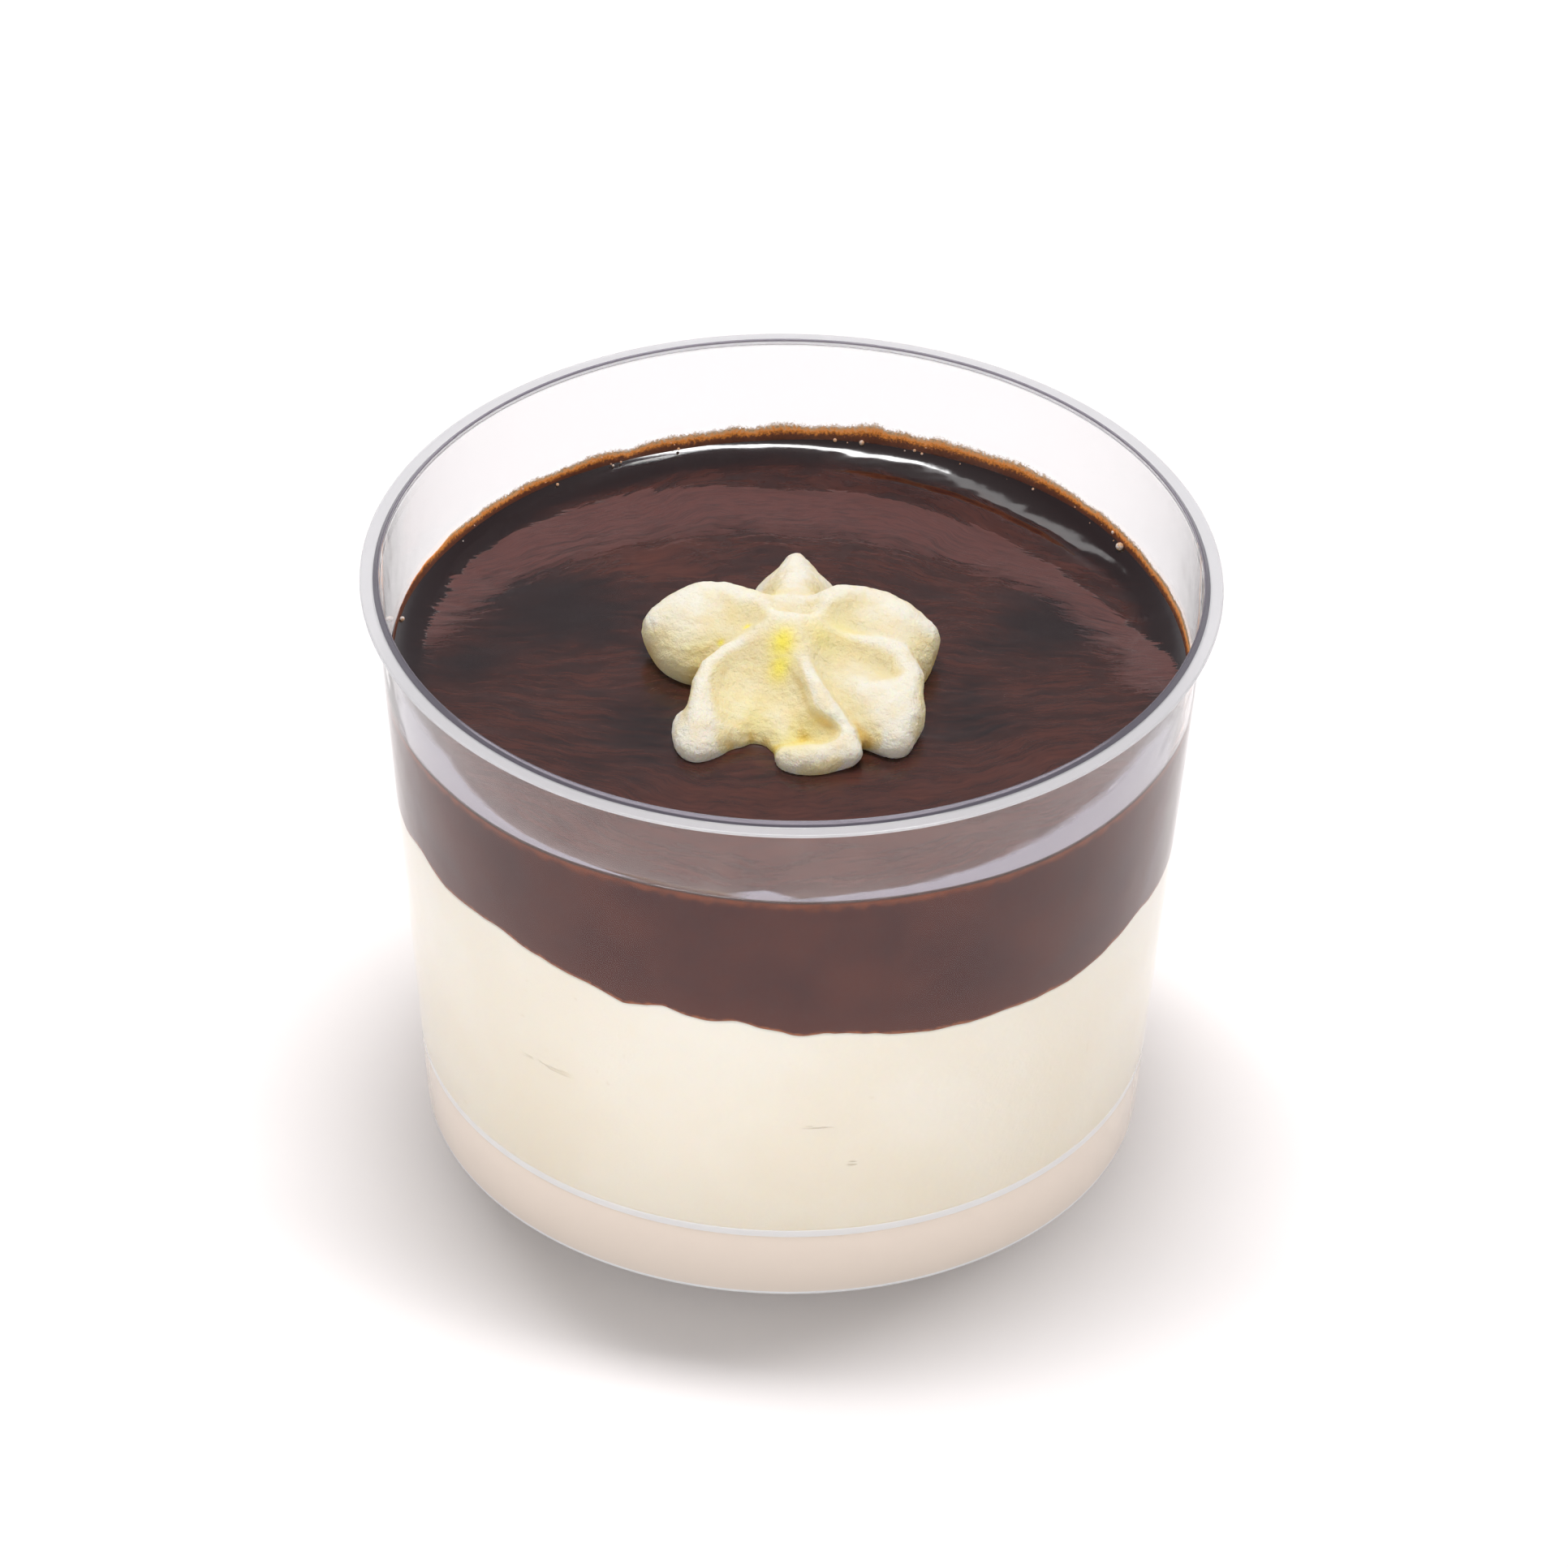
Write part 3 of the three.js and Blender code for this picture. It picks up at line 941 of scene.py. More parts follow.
@dataclass(frozen=True)
class SauceGleam:
    """Grey-blue glint of an air gap between the sauce and the wall, drawn out into soft strokes."""

    light: Colour = (0.62, 0.62, 0.72)
    roughness: float = 0.4
    cover: float = 0.40
    stroke_size: Point = (3.0, 3.0, 0.6)
    stroke_depth: float = 0.9
    stroke_span: Span = (0.08, 0.75)

    def material(self) -> bpy.types.Material:
        """Builds the material.

        Returns:
            The material.
        """
        board = ShaderBoard("sauce_gleam")
        drawn = board.vector("DIVIDE", board.place, tuple(v * MM for v in self.stroke_size))
        strokes = board.noise(1.0, 4.0, 0.65, drawn)
        stroke = board.math("MULTIPLY_ADD", strokes, self.stroke_depth, -0.5 * self.stroke_depth)
        share = board.math("ADD", board.trait(Trait.FILM), stroke)
        cover = board.math("MULTIPLY", board.rise(share, *self.stroke_span), self.cover)
        return board.finish(board.principled(Base_Color=self.light, Roughness=self.roughness, Alpha=cover))


@dataclass(frozen=True)
class BubbleSkin:
    """Skin of the air bubbles at the sauce's edge: thin, glossy and amber."""

    amber: Colour = (0.85, 0.42, 0.20)
    glint: Colour = (0.95, 0.8, 0.7)
    roughness: float = 0.08
    softness: float = 0.3
    fleck_size: float = 0.3
    fleck_span: Span = (0.4, 0.7)

    def material(self) -> bpy.types.Material:
        """Builds the material.

        Returns:
            The material.
        """
        board = ShaderBoard("bubble_skin")
        # Pale flecks: painted glints on the amber skin.
        tone = board.blend(board.rise(board.noise(self.fleck_size), *self.fleck_span), self.amber, self.glint)
        surface = board.principled(Base_Color=tone, Roughness=self.roughness, Subsurface_Weight=self.softness)
        return board.finish(surface)


@dataclass(frozen=True)
class StudioFloor:
    """Plain near-white paper, a little warm in its shadows."""

    white: Colour = (0.94, 0.905, 0.90)
    second: Colour = (0.935, 0.90, 0.895)
    roughness: float = 0.9
    cloud_size: float = 40.0

    def material(self) -> bpy.types.Material:
        """Builds the material.

        Returns:
            The material.
        """
        board = ShaderBoard("studio_floor")
        tone = board.blend(board.noise(self.cloud_size), self.white, self.second)
        return board.finish(board.principled(Base_Color=tone, Roughness=self.roughness, Specular_IOR_Level=0.0))


# The cup and what is in it


@dataclass
class DessertCup:
    """Clear cup: a thin wall that leans outwards, a raised floor on a skirt and a stepped rim."""

    height: float = 61.9
    foot_radius: float = 35.6
    wall_top_radius: float = 40.95
    wall_top_height: float = 60.7
    wall: float = 0.6
    floor_top: float = 8.1
    floor_thickness: float = 0.9
    floor_fillet: float = 0.7
    foot_round: float = 0.12
    rim_inner_radius: float = 40.5
    rim_depth: float = 1.6
    rim_lean: float = 0.02
    rim_round: float = 0.12
    shoulder_radius: float = 41.15
    shoulder_height: float = 61.45
    flange_radius: float = 42.45
    flange_thickness: float = 0.35
    flange_drop: float = 0.05
    flange_root: Span = (0.1, 0.08)
    flange_from: float = 0.03
    lip_drop: float = 0.2
    wall_end_drop: float = 0.15
    ledge: Span = (7.75, 8.6)
    foot_edge: float = 0.4
    segments: int = 288
    longest_step: float = 2.5
    corner_step: float = 0.12
    weld: float = 0.0005
    finish: ClearPlastic = field(default_factory=ClearPlastic)
    # Lip: a dark painted band, painted shade standing in for the dark surroundings that the rim refracts.
    lip_painted_shade: ClearPlastic = ClearPlastic((0.20, 0.18, 0.22), 0.16, haze=0.5, name="clear_plastic_lip_painted_shade")
    # Flange: a real milky haze whose pale grey tone is painted light gathered in the rim.
    flange_haze_and_painted_light: ClearPlastic = ClearPlastic((0.70, 0.69, 0.70), 0.12, haze=0.5, name="clear_plastic_flange_painted_light")
    # Ledge at the floor's height and the foot's edge: white painted highlights where the fillets catch light.
    edge_painted_highlight: ClearPlastic = ClearPlastic((0.99, 0.99, 1.0), 0.12, haze=0.7, name="clear_plastic_edge_painted_highlight")
    # Skirt: a real milky haze with warm painted light, standing in for the lit floor and cream seen through it.
    skirt_haze_and_painted_light: ClearPlastic = ClearPlastic((0.98, 0.87, 0.77), 0.10, haze=0.6, name="clear_plastic_skirt_painted_light")

    def outer_radius(self, z: float | np.ndarray) -> float | np.ndarray:
        """Outer radius of the leaning wall at a height."""
        return self.foot_radius + (self.wall_top_radius - self.foot_radius) / self.wall_top_height * z

    def inner_radius(self, z: float | np.ndarray) -> float | np.ndarray:
        """Inner radius of the leaning wall at a height."""
        return self.outer_radius(z) - self.wall

    def outline(self) -> list[Span]:
        """Corners and arcs of the cup's section.

        Returns:
            Pairs of radius and height, from the underside's middle round the foot and the rim to the floor's top.
        """
        underside = self.floor_top - self.floor_thickness
        flange_top = self.shoulder_height - self.flange_drop
        flange_bottom = flange_top - self.flange_thickness
        foot, rim, edge, fillet = self.foot_round, self.rim_round, self.flange_thickness / 2, self.floor_fillet
        root_below, root_above = self.flange_root
        below = (self.inner_radius(underside) - fillet, underside - fillet)
        above = (self.inner_radius(self.floor_top) - fillet, self.floor_top + fillet)
        return [
            (0.0, underside),
            *arc_points(below, fillet, 90, 0, 6),
            (self.inner_radius(foot), foot),
            (self.inner_radius(0) + foot, 0.0),
            (self.outer_radius(0) - foot, 0.0),
            *((self.outer_radius(z), z) for z in (foot, self.foot_edge, *self.ledge, self.wall_top_height - 1)),
            (self.outer_radius(self.wall_top_height), flange_bottom - self.wall_end_drop),
            (self.shoulder_radius + root_below, flange_bottom),
            *arc_points((self.flange_radius - edge, flange_bottom + edge), edge, -90, 90, 8),
            (self.shoulder_radius + root_above, flange_top),
            (self.shoulder_radius, self.shoulder_height),
            *arc_points((self.rim_inner_radius + 1.6 * rim, self.height - rim), rim, 60, 180, 8),
            (self.inner_radius(self.height) - self.rim_lean, self.height - self.rim_depth),
            (self.inner_radius(self.floor_top + fillet), self.floor_top + fillet),
            *arc_points(above, fillet, 0, -90, 6)[1:],
            (0.0, self.floor_top),
        ]

    def section(self) -> np.ndarray:
        """Section with points close enough together for smooth shading, and closer beside the corners.

        Returns:
            Rows of radius and height.
        """
        corners = np.array(self.outline())
        points = [corners[0]]
        for a, b in zip(corners[:-1], corners[1:]):
            length = float(np.hypot(*(b - a)))
            if length > 3 * self.corner_step:
                near = self.corner_step / length
                inner = np.linspace(near, 1 - near, max(2, math.ceil(length / self.longest_step)))
                points += [a + (b - a) * t for t in inner]
            points.append(b)
        return np.array(points)

    def build(self) -> bpy.types.Object:
        """Turns the section round the axis with Geometry Nodes.

        Returns:
            The cup, dressed and handed over.
        """
        section = self.section()
        line = bpy.data.meshes.new("cup_section")
        edges = [(i, i + 1) for i in range(len(section) - 1)]
        line.from_pydata([(r * MM, 0.0, z * MM) for r, z in section], edges, [])
        board = GeometryBoard("turned_cup")
        segments = board.size("Segments", self.segments)
        weld = board.size("Weld Distance", self.weld * MM)
        source = board.start.outputs["Geometry"]
        count = board.node("GeometryNodeAttributeDomainSize", {0: source}).outputs["Point Count"]
        columns = board.math("ADD", segments, 1)
        sheet = board.node("GeometryNodeMeshGrid", {"Vertices X": columns, "Vertices Y": count}).outputs["Mesh"]
        index = board.node("GeometryNodeInputIndex").outputs[0]
        column = board.math("FLOOR", board.math("DIVIDE", board.math("ADD", index, 0.5), count))
        row = board.math("SUBTRACT", index, board.math("MULTIPLY", column, count))
        turn = board.math("MULTIPLY", board.math("DIVIDE", column, segments), 2 * math.pi)
        position = board.node("GeometryNodeInputPosition").outputs[0]
        sample = board.node("GeometryNodeSampleIndex", data_type="FLOAT_VECTOR")
        for name, value in (("Geometry", source), ("Value", position), ("Index", row)):
            board.feed(sample.inputs[name], value)
        parts = board.node("ShaderNodeSeparateXYZ", {0: sample.outputs[0]}).outputs
        place = board.polar_point(parts["X"], turn, parts["Z"])
        turned = board.node("GeometryNodeSetPosition", {"Geometry": sheet, "Position": place}).outputs[0]
        joined = board.node("GeometryNodeMergeByDistance", {"Geometry": turned, "Distance": weld}).outputs[0]
        smooth = board.node("GeometryNodeSetShadeSmooth", {"Geometry": joined}).outputs[0]
        piece = board.grow(smooth, self.finish.material(), "dessert_cup", line)
        self.dress_edges(piece.data)
        return hand_over(piece, Slot.CLEAR_PLASTIC, "cup")

    def dress_edges(self, mesh: bpy.types.Mesh) -> None:
        """Gives the lip, the flange, the skirt and its edges their own milkier finishes with painted light and shade:
        a dark painted band on the lip, a pale painted tone on the flange, warm painted light in the skirt and white
        painted highlights on the ledge and the foot's edge.

        Args:
            mesh: The cup's mesh.
        """
        first = len(mesh.materials)
        for finish in (self.lip_painted_shade, self.flange_haze_and_painted_light, self.skirt_haze_and_painted_light, self.edge_painted_highlight):
            mesh.materials.append(finish.material())
        for face in mesh.polygons:
            x, y, z = face.center / MM
            radius = math.hypot(x, y)
            on_ledge = self.ledge[0] < z < self.ledge[1] and radius > self.outer_radius(z) - self.wall / 2
            if on_ledge or z < self.foot_edge:
                face.material_index = first + 3
            elif radius > self.shoulder_radius + self.flange_from:
                face.material_index = first + 1
            elif z > self.shoulder_height - self.lip_drop:
                face.material_index = first
            elif z < self.ledge[0] and radius > self.foot_radius - 2 * self.wall:
                face.material_index = first + 2


@dataclass(frozen=True)
class Drip:
    """Place where the sauce hangs lower into the cream, or stands higher where its depth is negative.

    Its side is counted in degrees from the front, to the right.
    """

    side: float
    width: float
    depth: float


@dataclass
class CreamLayer:
    """Thick layer of set cream that fills the cup's lower half."""

    cup: DessertCup
    edge_level: float = 35.2
    edge_right: float = -1.75
    edge_near: float = -0.7
    edge_twice: float = -1.15
    edge_ripple: float = 0.16
    fray: float = 0.17
    fray_size: float = 2.2
    top_centre: float = 34.6
    drips: tuple[Drip, ...] = (
        Drip(-67.0, 5.0, -1.1),
        Drip(-46.0, 14.0, -0.4),
        Drip(-24.0, 2.6, 0.85),
        Drip(-17.5, 2.0, -0.5),
        Drip(-6.5, 3.2, -0.8),
        Drip(2.4, 2.6, 0.55),
        Drip(64.0, 9.0, -1.0),
        Drip(78.0, 9.0, -0.6),
    )
    reach: float = 0.14
    half_gap: float = 0.15
    columns: int = 480
    wall_rows: int = 70
    floor_shares: Span = (0.4, 0.8)
    top_shares: tuple[float, ...] = (0.995, 0.97, 0.9, 0.7, 0.4)
    finish: VanillaCream = field(default_factory=VanillaCream)

    def edge(self, azimuth: np.ndarray) -> np.ndarray:
        """Line between cream and sauce on the wall.

        Args:
            azimuth: Directions in degrees.

        Returns:
            Its height in each direction.
        """
        side = turn_from(azimuth, FRONT)
        a = np.radians(side)
        wave = self.edge_right * np.sin(a) + self.edge_near * np.cos(a) + self.edge_twice * np.sin(2 * a)
        ripple = self.edge_ripple * (np.sin(7 * a + 1) + np.sin(13 * a))
        drips = sum(drip.depth * bell(side, drip.side, drip.width) for drip in self.drips)
        fine = ripples(polar(np.full_like(a, 30.0), azimuth, np.zeros_like(a)), self.fray_size, 4, 3.0)
        return self.edge_level + wave + ripple - drips + self.fray * fine + self.half_gap

    def top(self, azimuth: np.ndarray, share: float) -> np.ndarray:
        """Height of the cream's top at a share of the way from the axis to the wall."""
        return self.top_centre + self.half_gap + (self.edge(azimuth) - self.top_centre - self.half_gap) * share**2

    def build(self) -> bpy.types.Object:
        """Builds the layer.

        Returns:
            The cream, dressed and handed over.
        """
        cup, azimuth = self.cup, np.linspace(0, 360, self.columns, endpoint=False)
        fillet = cup.floor_fillet
        centre = (cup.inner_radius(cup.floor_top) - fillet, cup.floor_top + fillet)
        rings = [polar(share * centre[0], azimuth, centre[1] - fillet - self.reach) for share in self.floor_shares]
        rings += [polar(r, azimuth, z) for r, z in arc_points(centre, fillet + self.reach, -90, -8, 6)]
        low, high = cup.floor_top + fillet, self.edge(azimuth)
        for t in np.linspace(0.02, 1, self.wall_rows):
            z = low + (high - low) * t
            rings.append(polar(cup.inner_radius(z) + self.reach, azimuth, z))
        for share in self.top_shares:
            rings.append(polar(share * cup.inner_radius(high), azimuth, self.top(azimuth, share)))
        poles = (0, 0, cup.floor_top - self.reach), (0, 0, self.top_centre + self.half_gap)
        piece = skin_mesh("vanilla_cream", np.array(rings), poles, {})
        piece.data.materials.append(self.finish.material())
        return hand_over(piece, Slot.VANILLA_CREAM, "cream_layer")


@dataclass(frozen=True)
class Strand:
    """Thread of cream that runs out from the middle, turns towards its end and sinks."""

    headings: Span
    bend: float
    reach: float
    heights: Span
    fall: float
    thickness: Span
    steps: int = 9

    def gap(self, points: np.ndarray) -> np.ndarray:
        """Distance of points from the thread's skin, negative inside it.

        Args:
            points: X, Y and the height above the sauce on the first axis.

        Returns:
            One distance for each point.
        """
        t = np.linspace(0.0, 1.0, self.steps + 1)
        turn = self.headings[0] + (self.headings[1] - self.headings[0]) * smooth_step(t, self.bend, 1.0)
        z = self.heights[0] + (self.heights[1] - self.heights[0]) * t**self.fall
        spine = polar(self.reach * t, turn, z)
        radii = self.thickness[0] + (self.thickness[1] - self.thickness[0]) * t
        nearest = np.full(points.shape[1:], np.inf)
        for start, end, first, last in zip(spine[:-1], spine[1:], radii[:-1], radii[1:]):
            way = end - start
            off = [p - c for p, c in zip(points, start)]
            along = np.clip(sum(o * w for o, w in zip(off, way)) / (way @ way), 0.0, 1.0)
            away = np.sqrt(sum((o - along * w) ** 2 for o, w in zip(off, way)))
            nearest = np.minimum(nearest, away - first - (last - first) * along)
        return nearest


@dataclass(frozen=True)
class Bead:
    """Rounded swelling of the cream, or the hollow that one leaves."""

    place: Point
    radii: Point

    def gap(self, points: np.ndarray) -> np.ndarray:
        """Distance of points from the bead's skin, negative inside it.

        Args:
            points: X, Y and the height above the sauce on the first axis.

        Returns:
            One distance for each point.
        """
        scaled = [(p - c) / r for p, c, r in zip(points, self.place, self.radii)]
        reach = np.sqrt(sum(s * s for s in scaled)) + TINY
        steep = np.sqrt(sum((s / r) ** 2 for s, r in zip(scaled, self.radii))) + TINY
        return reach * (reach - 1) / steep


@dataclass(frozen=True)
class Spot:
    """Round place on the star: its middle, its radius and its strength."""

    x: float
    y: float
    radius: float
    strength: float

    def share(self, points: np.ndarray) -> np.ndarray:
        """Strength at points that have X, Y and Z on the last axis."""
        return self.strength * bell(np.hypot(points[..., 0] - self.x, points[..., 1] - self.y), 0.0, self.radius)


@dataclass
class CreamStar:
    """Six uneven lobes of whipped cream, pressed out of a star nozzle and melted softly together."""

    level: float = 49.5
    sink: float = 0.3
    source: Point = (0.3, -0.5, -9.0)
    blend: float = 0.75
    core: Strand = Strand((270, 270), 0.5, 0.6, (3.6, -1.5), 1.0, (1.9, 8.2), 1)
    crests: tuple[Strand, ...] = (
        Strand((42, 14), 0.60, 13.0, (7.4, 2.7), 2.0, (1.1, 1.8)),
        Strand((88, 88.6), 0.50, 15.2, (4.9, 3.2), 1.2, (1.9, 0.6)),
        Strand((140, 163), 0.70, 13.0, (6.3, 3.0), 2.4, (1.1, 2.0)),
        Strand((209, 236), 0.44, 16.2, (5.7, 0.8), 2.2, (0.9, 1.2)),
        Strand((283, 292.5), 0.25, 15.5, (5.8, 1.4), 2.1, (0.9, 1.15)),
        Strand((348, 311), 0.68, 16.0, (5.8, 1.0), 2.6, (0.9, 1.5)),
    )
    bodies: tuple[Strand, ...] = (
        Strand((28, 22), 0.5, 9.0, (2.5, 2.0), 1.0, (4.0, 4.0)),
        Strand((88, 88), 0.5, 14.0, (2.6, 2.0), 1.0, (4.6, 1.3)),
        Strand((152, 156), 0.5, 9.0, (2.5, 2.0), 1.0, (4.0, 4.0)),
        Strand((219, 238), 0.4, 14.8, (2.4, 0.5), 1.0, (4.0, 1.3)),
        Strand((236, 243), 0.4, 12.0, (2.8, 0.5), 1.2, (3.4, 1.4)),
        Strand((252, 256), 0.4, 10.2, (2.8, 0.2), 1.3, (3.2, 1.3)),
        Strand((264, 268), 0.4, 11.7, (2.8, 0.2), 1.3, (3.2, 1.3)),
        Strand((284, 290), 0.3, 13.5, (2.0, 1.0), 1.0, (3.8, 1.6)),
        Strand((304, 305), 0.4, 11.2, (2.8, 0.2), 1.2, (3.2, 1.4)),
        Strand((335, 320), 0.4, 10.0, (2.5, 1.8), 1.0, (3.6, 3.0)),
    )
    bulbs: tuple[Bead, ...] = (
        Bead((0.4, 11.2, 0.9), (4.3, 3.6, 2.9)),
        Bead((-9.0, 3.9, 1.6), (4.8, 6.0, 4.2)),
        Bead((9.5, 2.1, 1.5), (4.5, 6.4, 3.8)),
        Bead((9.4, -8.2, 1.3), (3.7, 4.1, 2.7)),
        Bead((1.9, -14.6, 0.8), (3.2, 2.0, 2.0)),
        Bead((-10.3, -10.4, 0.7), (1.1, 2.6, 1.2)),
        Bead((-1.5, 0.6, 7.4), (0.6, 0.6, 0.5)),
        Bead((2.0, 1.9, 7.0), (0.6, 0.6, 0.5)),
    )
    hollows: tuple[Bead, ...] = (
        Bead((8.6, -4.6, 7.2), (3.0, 2.6, 2.6)),
        Bead((1.4, -12.9, 3.0), (3.4, 1.3, 1.1)),
        Bead((-4.6, -7.4, 7.2), (3.2, 3.2, 3.4)),
        Bead((-1.0, -9.4, 6.0), (2.2, 2.8, 2.8)),
        Bead((5.2, -5.2, 7.4), (2.0, 3.0, 2.6)),
        Bead((-6.0, 0.4, 8.4), (3.0, 1.3, 2.2)),
        Bead((0.5, 2.2, 9.4), (3.0, 2.6, 2.5)),
        Bead((6.6, 0.4, 8.6), (3.0, 1.3, 2.2)),
    )
    # Spots painted a deeper gold: painted glow and shade in the star's valleys and hollows.
    valley_glows: tuple[Spot, ...] = (
        Spot(-0.75, -3.8, 1.3, 1.0),
        Spot(-1.0, -5.5, 1.1, 0.9),
        Spot(-9.0, -2.0, 2.5, 0.16),
        Spot(-6.85, -0.9, 0.34, 1.0),
        Spot(-4.3, 0.0, 0.34, 1.0),
        Spot(-2.4, 5.6, 1.6, 0.35),
        Spot(2.9, -2.2, 1.5, 0.35),
        Spot(5.0, -0.4, 1.6, 0.3),
        Spot(0.8, -12.9, 2.6, 0.38),
        Spot(-3.6, -9.6, 2.6, 0.22),
    )
    pinch: Spot = Spot(0.65, 1.0, 0.9, 0.6)
    columns: int = 450
    rows: int = 150
    coarse: tuple[int, int] = (225, 90)
    outside: float = 22.0
    far_outside: float = 27.0
    traces: int = 26
    fan_reach: int = 3
    margin: float = 0.4
    lumps: float = 0.12
    lump_size: float = 3.2
    grain: float = 0.07
    grain_size: float = 0.8
    free_span: Span = (0.2, 0.9)
    tip_span: Span = (0.3, 2.5)
    # Sizes of the painted light and shade of the skin; the last weighs how much up-facing parts are painted lighter.
    crest_passes: tuple[int, int] = (20, 160)
    crest_scales: Span = (0.5, 2.0)
    crest_base: float = 0.42
    upward_light: float = 0.7
    finish: WhippedCream = field(default_factory=WhippedCream)

    def gap(self, points: np.ndarray) -> np.ndarray:
        """Distance of points from the star's skin, negative inside it.

        Args:
            points: X, Y and the height above the sauce on the first axis.

        Returns:
            One distance for each point.
        """
        solids = (self.core, *self.crests, *self.bodies, *self.bulbs)
        shares = sum(np.exp(-np.clip(x.gap(points), -6, 40) / self.blend) for x in solids)
        gap = -self.blend * np.log(shares)
        for hollow in self.hollows:
            gap = self.blend * np.logaddexp(gap / self.blend, -hollow.gap(points) / self.blend)
        return gap

    def traced(self, start: Sequence[float], ways: np.ndarray, lengths: np.ndarray, steps: int) -> np.ndarray:
        """Lengths of rays up to the skin, found from outside.

        Args:
            start: Where the rays start.
            ways: Their directions, of length 1, with the parts on the first axis.
            lengths: Lengths to begin with.
            steps: How often each length is corrected.

        Returns:
            The lengths.
        """
        for _ in range(steps):
            points = np.array([s + w * lengths for s, w in zip(start, ways)])
            lengths = lengths - self.gap(points)
        return lengths

    def foot(self, azimuth: np.ndarray, height: float = 0.0) -> np.ndarray:
        """Outline of the star at a height above the sauce.

        Args:
            azimuth: Directions in degrees.
            height: The height.

        Returns:
            The star's radius in each direction.
        """
        ways = np.moveaxis(polar(np.ones_like(azimuth), azimuth, np.zeros_like(azimuth)), -1, 0)
        return self.traced((0, 0, height), ways, np.full_like(azimuth, self.outside), 2 * self.traces)

    def fan(self) -> tuple[np.ndarray, np.ndarray]:
        """Directions round the star and where the lowest ray in each of them passes.

        Returns:
            The directions, and the radii at which the lowest rays start to climb.
        """
        around = np.linspace(0, 360, self.coarse[0], endpoint=False)
        feet = self.foot(around, -self.sink)
        near = range(-self.fan_reach, self.fan_reach + 1)
        widest = np.max([np.roll(feet, n) for n in near], axis=0)
        return around, np.mean([np.roll(widest, n) for n in near], axis=0)

    def rays(self, azimuth: np.ndarray, feet: np.ndarray, climbs: np.ndarray) -> np.ndarray:
        """Directions of rays from the source.

        Args:
            azimuth: Turns round the star.
            feet: Radii that the lowest rays pass at the foot's height.
            climbs: From 0 for the lowest ray to 1 for straight up.

        Returns:
            The directions, with their parts on the first axis.
        """
        passed = polar(feet, azimuth, -self.sink) - np.array(self.source)
        turns = np.arctan2(passed[:, 1], passed[:, 0])
        low = np.arctan2(passed[:, 2], np.hypot(passed[:, 0], passed[:, 1]))
        angle = low + (math.pi / 2 - low) * climbs
        flat = np.cos(angle)
        return np.stack([flat * np.cos(turns), flat * np.sin(turns), np.sin(angle)])

    def skin(self) -> np.ndarray:
        """Traces the skin, first on a coarse grid from outside and then on the fine one from close by.

        Returns:
            Rings of points, from the foot to just under the top.
        """
        around, feet = self.fan()
        climbs = np.arange(self.coarse[1]) / self.coarse[1]
        ways = self.rays(around, feet, climbs[:, None])
        lengths = self.traced(self.source, ways, np.full(ways.shape[1:], self.far_outside), self.traces)
        lengths = np.max([np.roll(lengths, n, axis=1) for n in (-1, 0, 1)], axis=0)
        fine = np.linspace(0, 360, self.columns, endpoint=False)
        shares = np.arange(self.rows)[:, None] / self.rows
        lengths = np.array([np.interp(fine, around, row, period=360) for row in lengths])
        lengths = np.array([np.interp(shares[:, 0], climbs, column) for column in lengths.T]).T + self.margin
        ways = self.rays(fine, np.interp(fine, around, feet, period=360), shares)
        lengths = self.traced(self.source, ways, lengths, self.traces // 2)
        points = np.stack([s + w * lengths for s, w in zip(self.source, ways)], axis=-1)
        points[..., 2] = np.maximum(points[..., 2], -self.sink)
        return points

    @staticmethod
    def normals(rings: np.ndarray) -> np.ndarray:
        """Outward normals.

        Args:
            rings: Points by ring, then by column.

        Returns:
            A vector of length 1 for each point.
        """
        along = np.roll(rings, -1, axis=1) - np.roll(rings, 1, axis=1)
        up = np.gradient(rings, axis=0)
        made = np.cross(along, up)
        return made / np.maximum(np.linalg.norm(made, axis=-1, keepdims=True), TINY)

    @staticmethod
    def softened(values: np.ndarray, passes: int) -> np.ndarray:
        """Values averaged with their neighbours along and across the rings.

        Args:
            values: Values by ring, then by column.
            passes: How often they are averaged.

        Returns:
            The softened values.
        """
        for _ in range(passes):
            across = (np.roll(values, 1, axis=1) + np.roll(values, -1, axis=1)) / 2
            padded = np.concatenate([values[:1], values, values[-1:]])
            along = (padded[:-2] + padded[2:]) / 2
            values = 0.4 * values + 0.3 * across + 0.3 * along
        return values

    def crest_light(self, rings: np.ndarray, normals: np.ndarray) -> np.ndarray:
        """Painted light and shade of the skin, from how far each point stands out and looks up:
        lighter on crests and up-facing parts, a darker gold in folds and on side-facing parts.

        Args:
            rings: Points by ring, then by column.
            normals: Their outward normals.

        Returns:
            From 0, painted shade in folds, to 1, painted light on crests.
        """
        sunk = [((self.softened(rings, passes) - rings) * normals).sum(-1) for passes in self.crest_passes]
        near, broad = (depth / scale for depth, scale in zip(sunk, self.crest_scales))
        return np.clip(self.crest_base - near - broad + self.upward_light * (normals[..., 2] - 0.5), 0, 1)

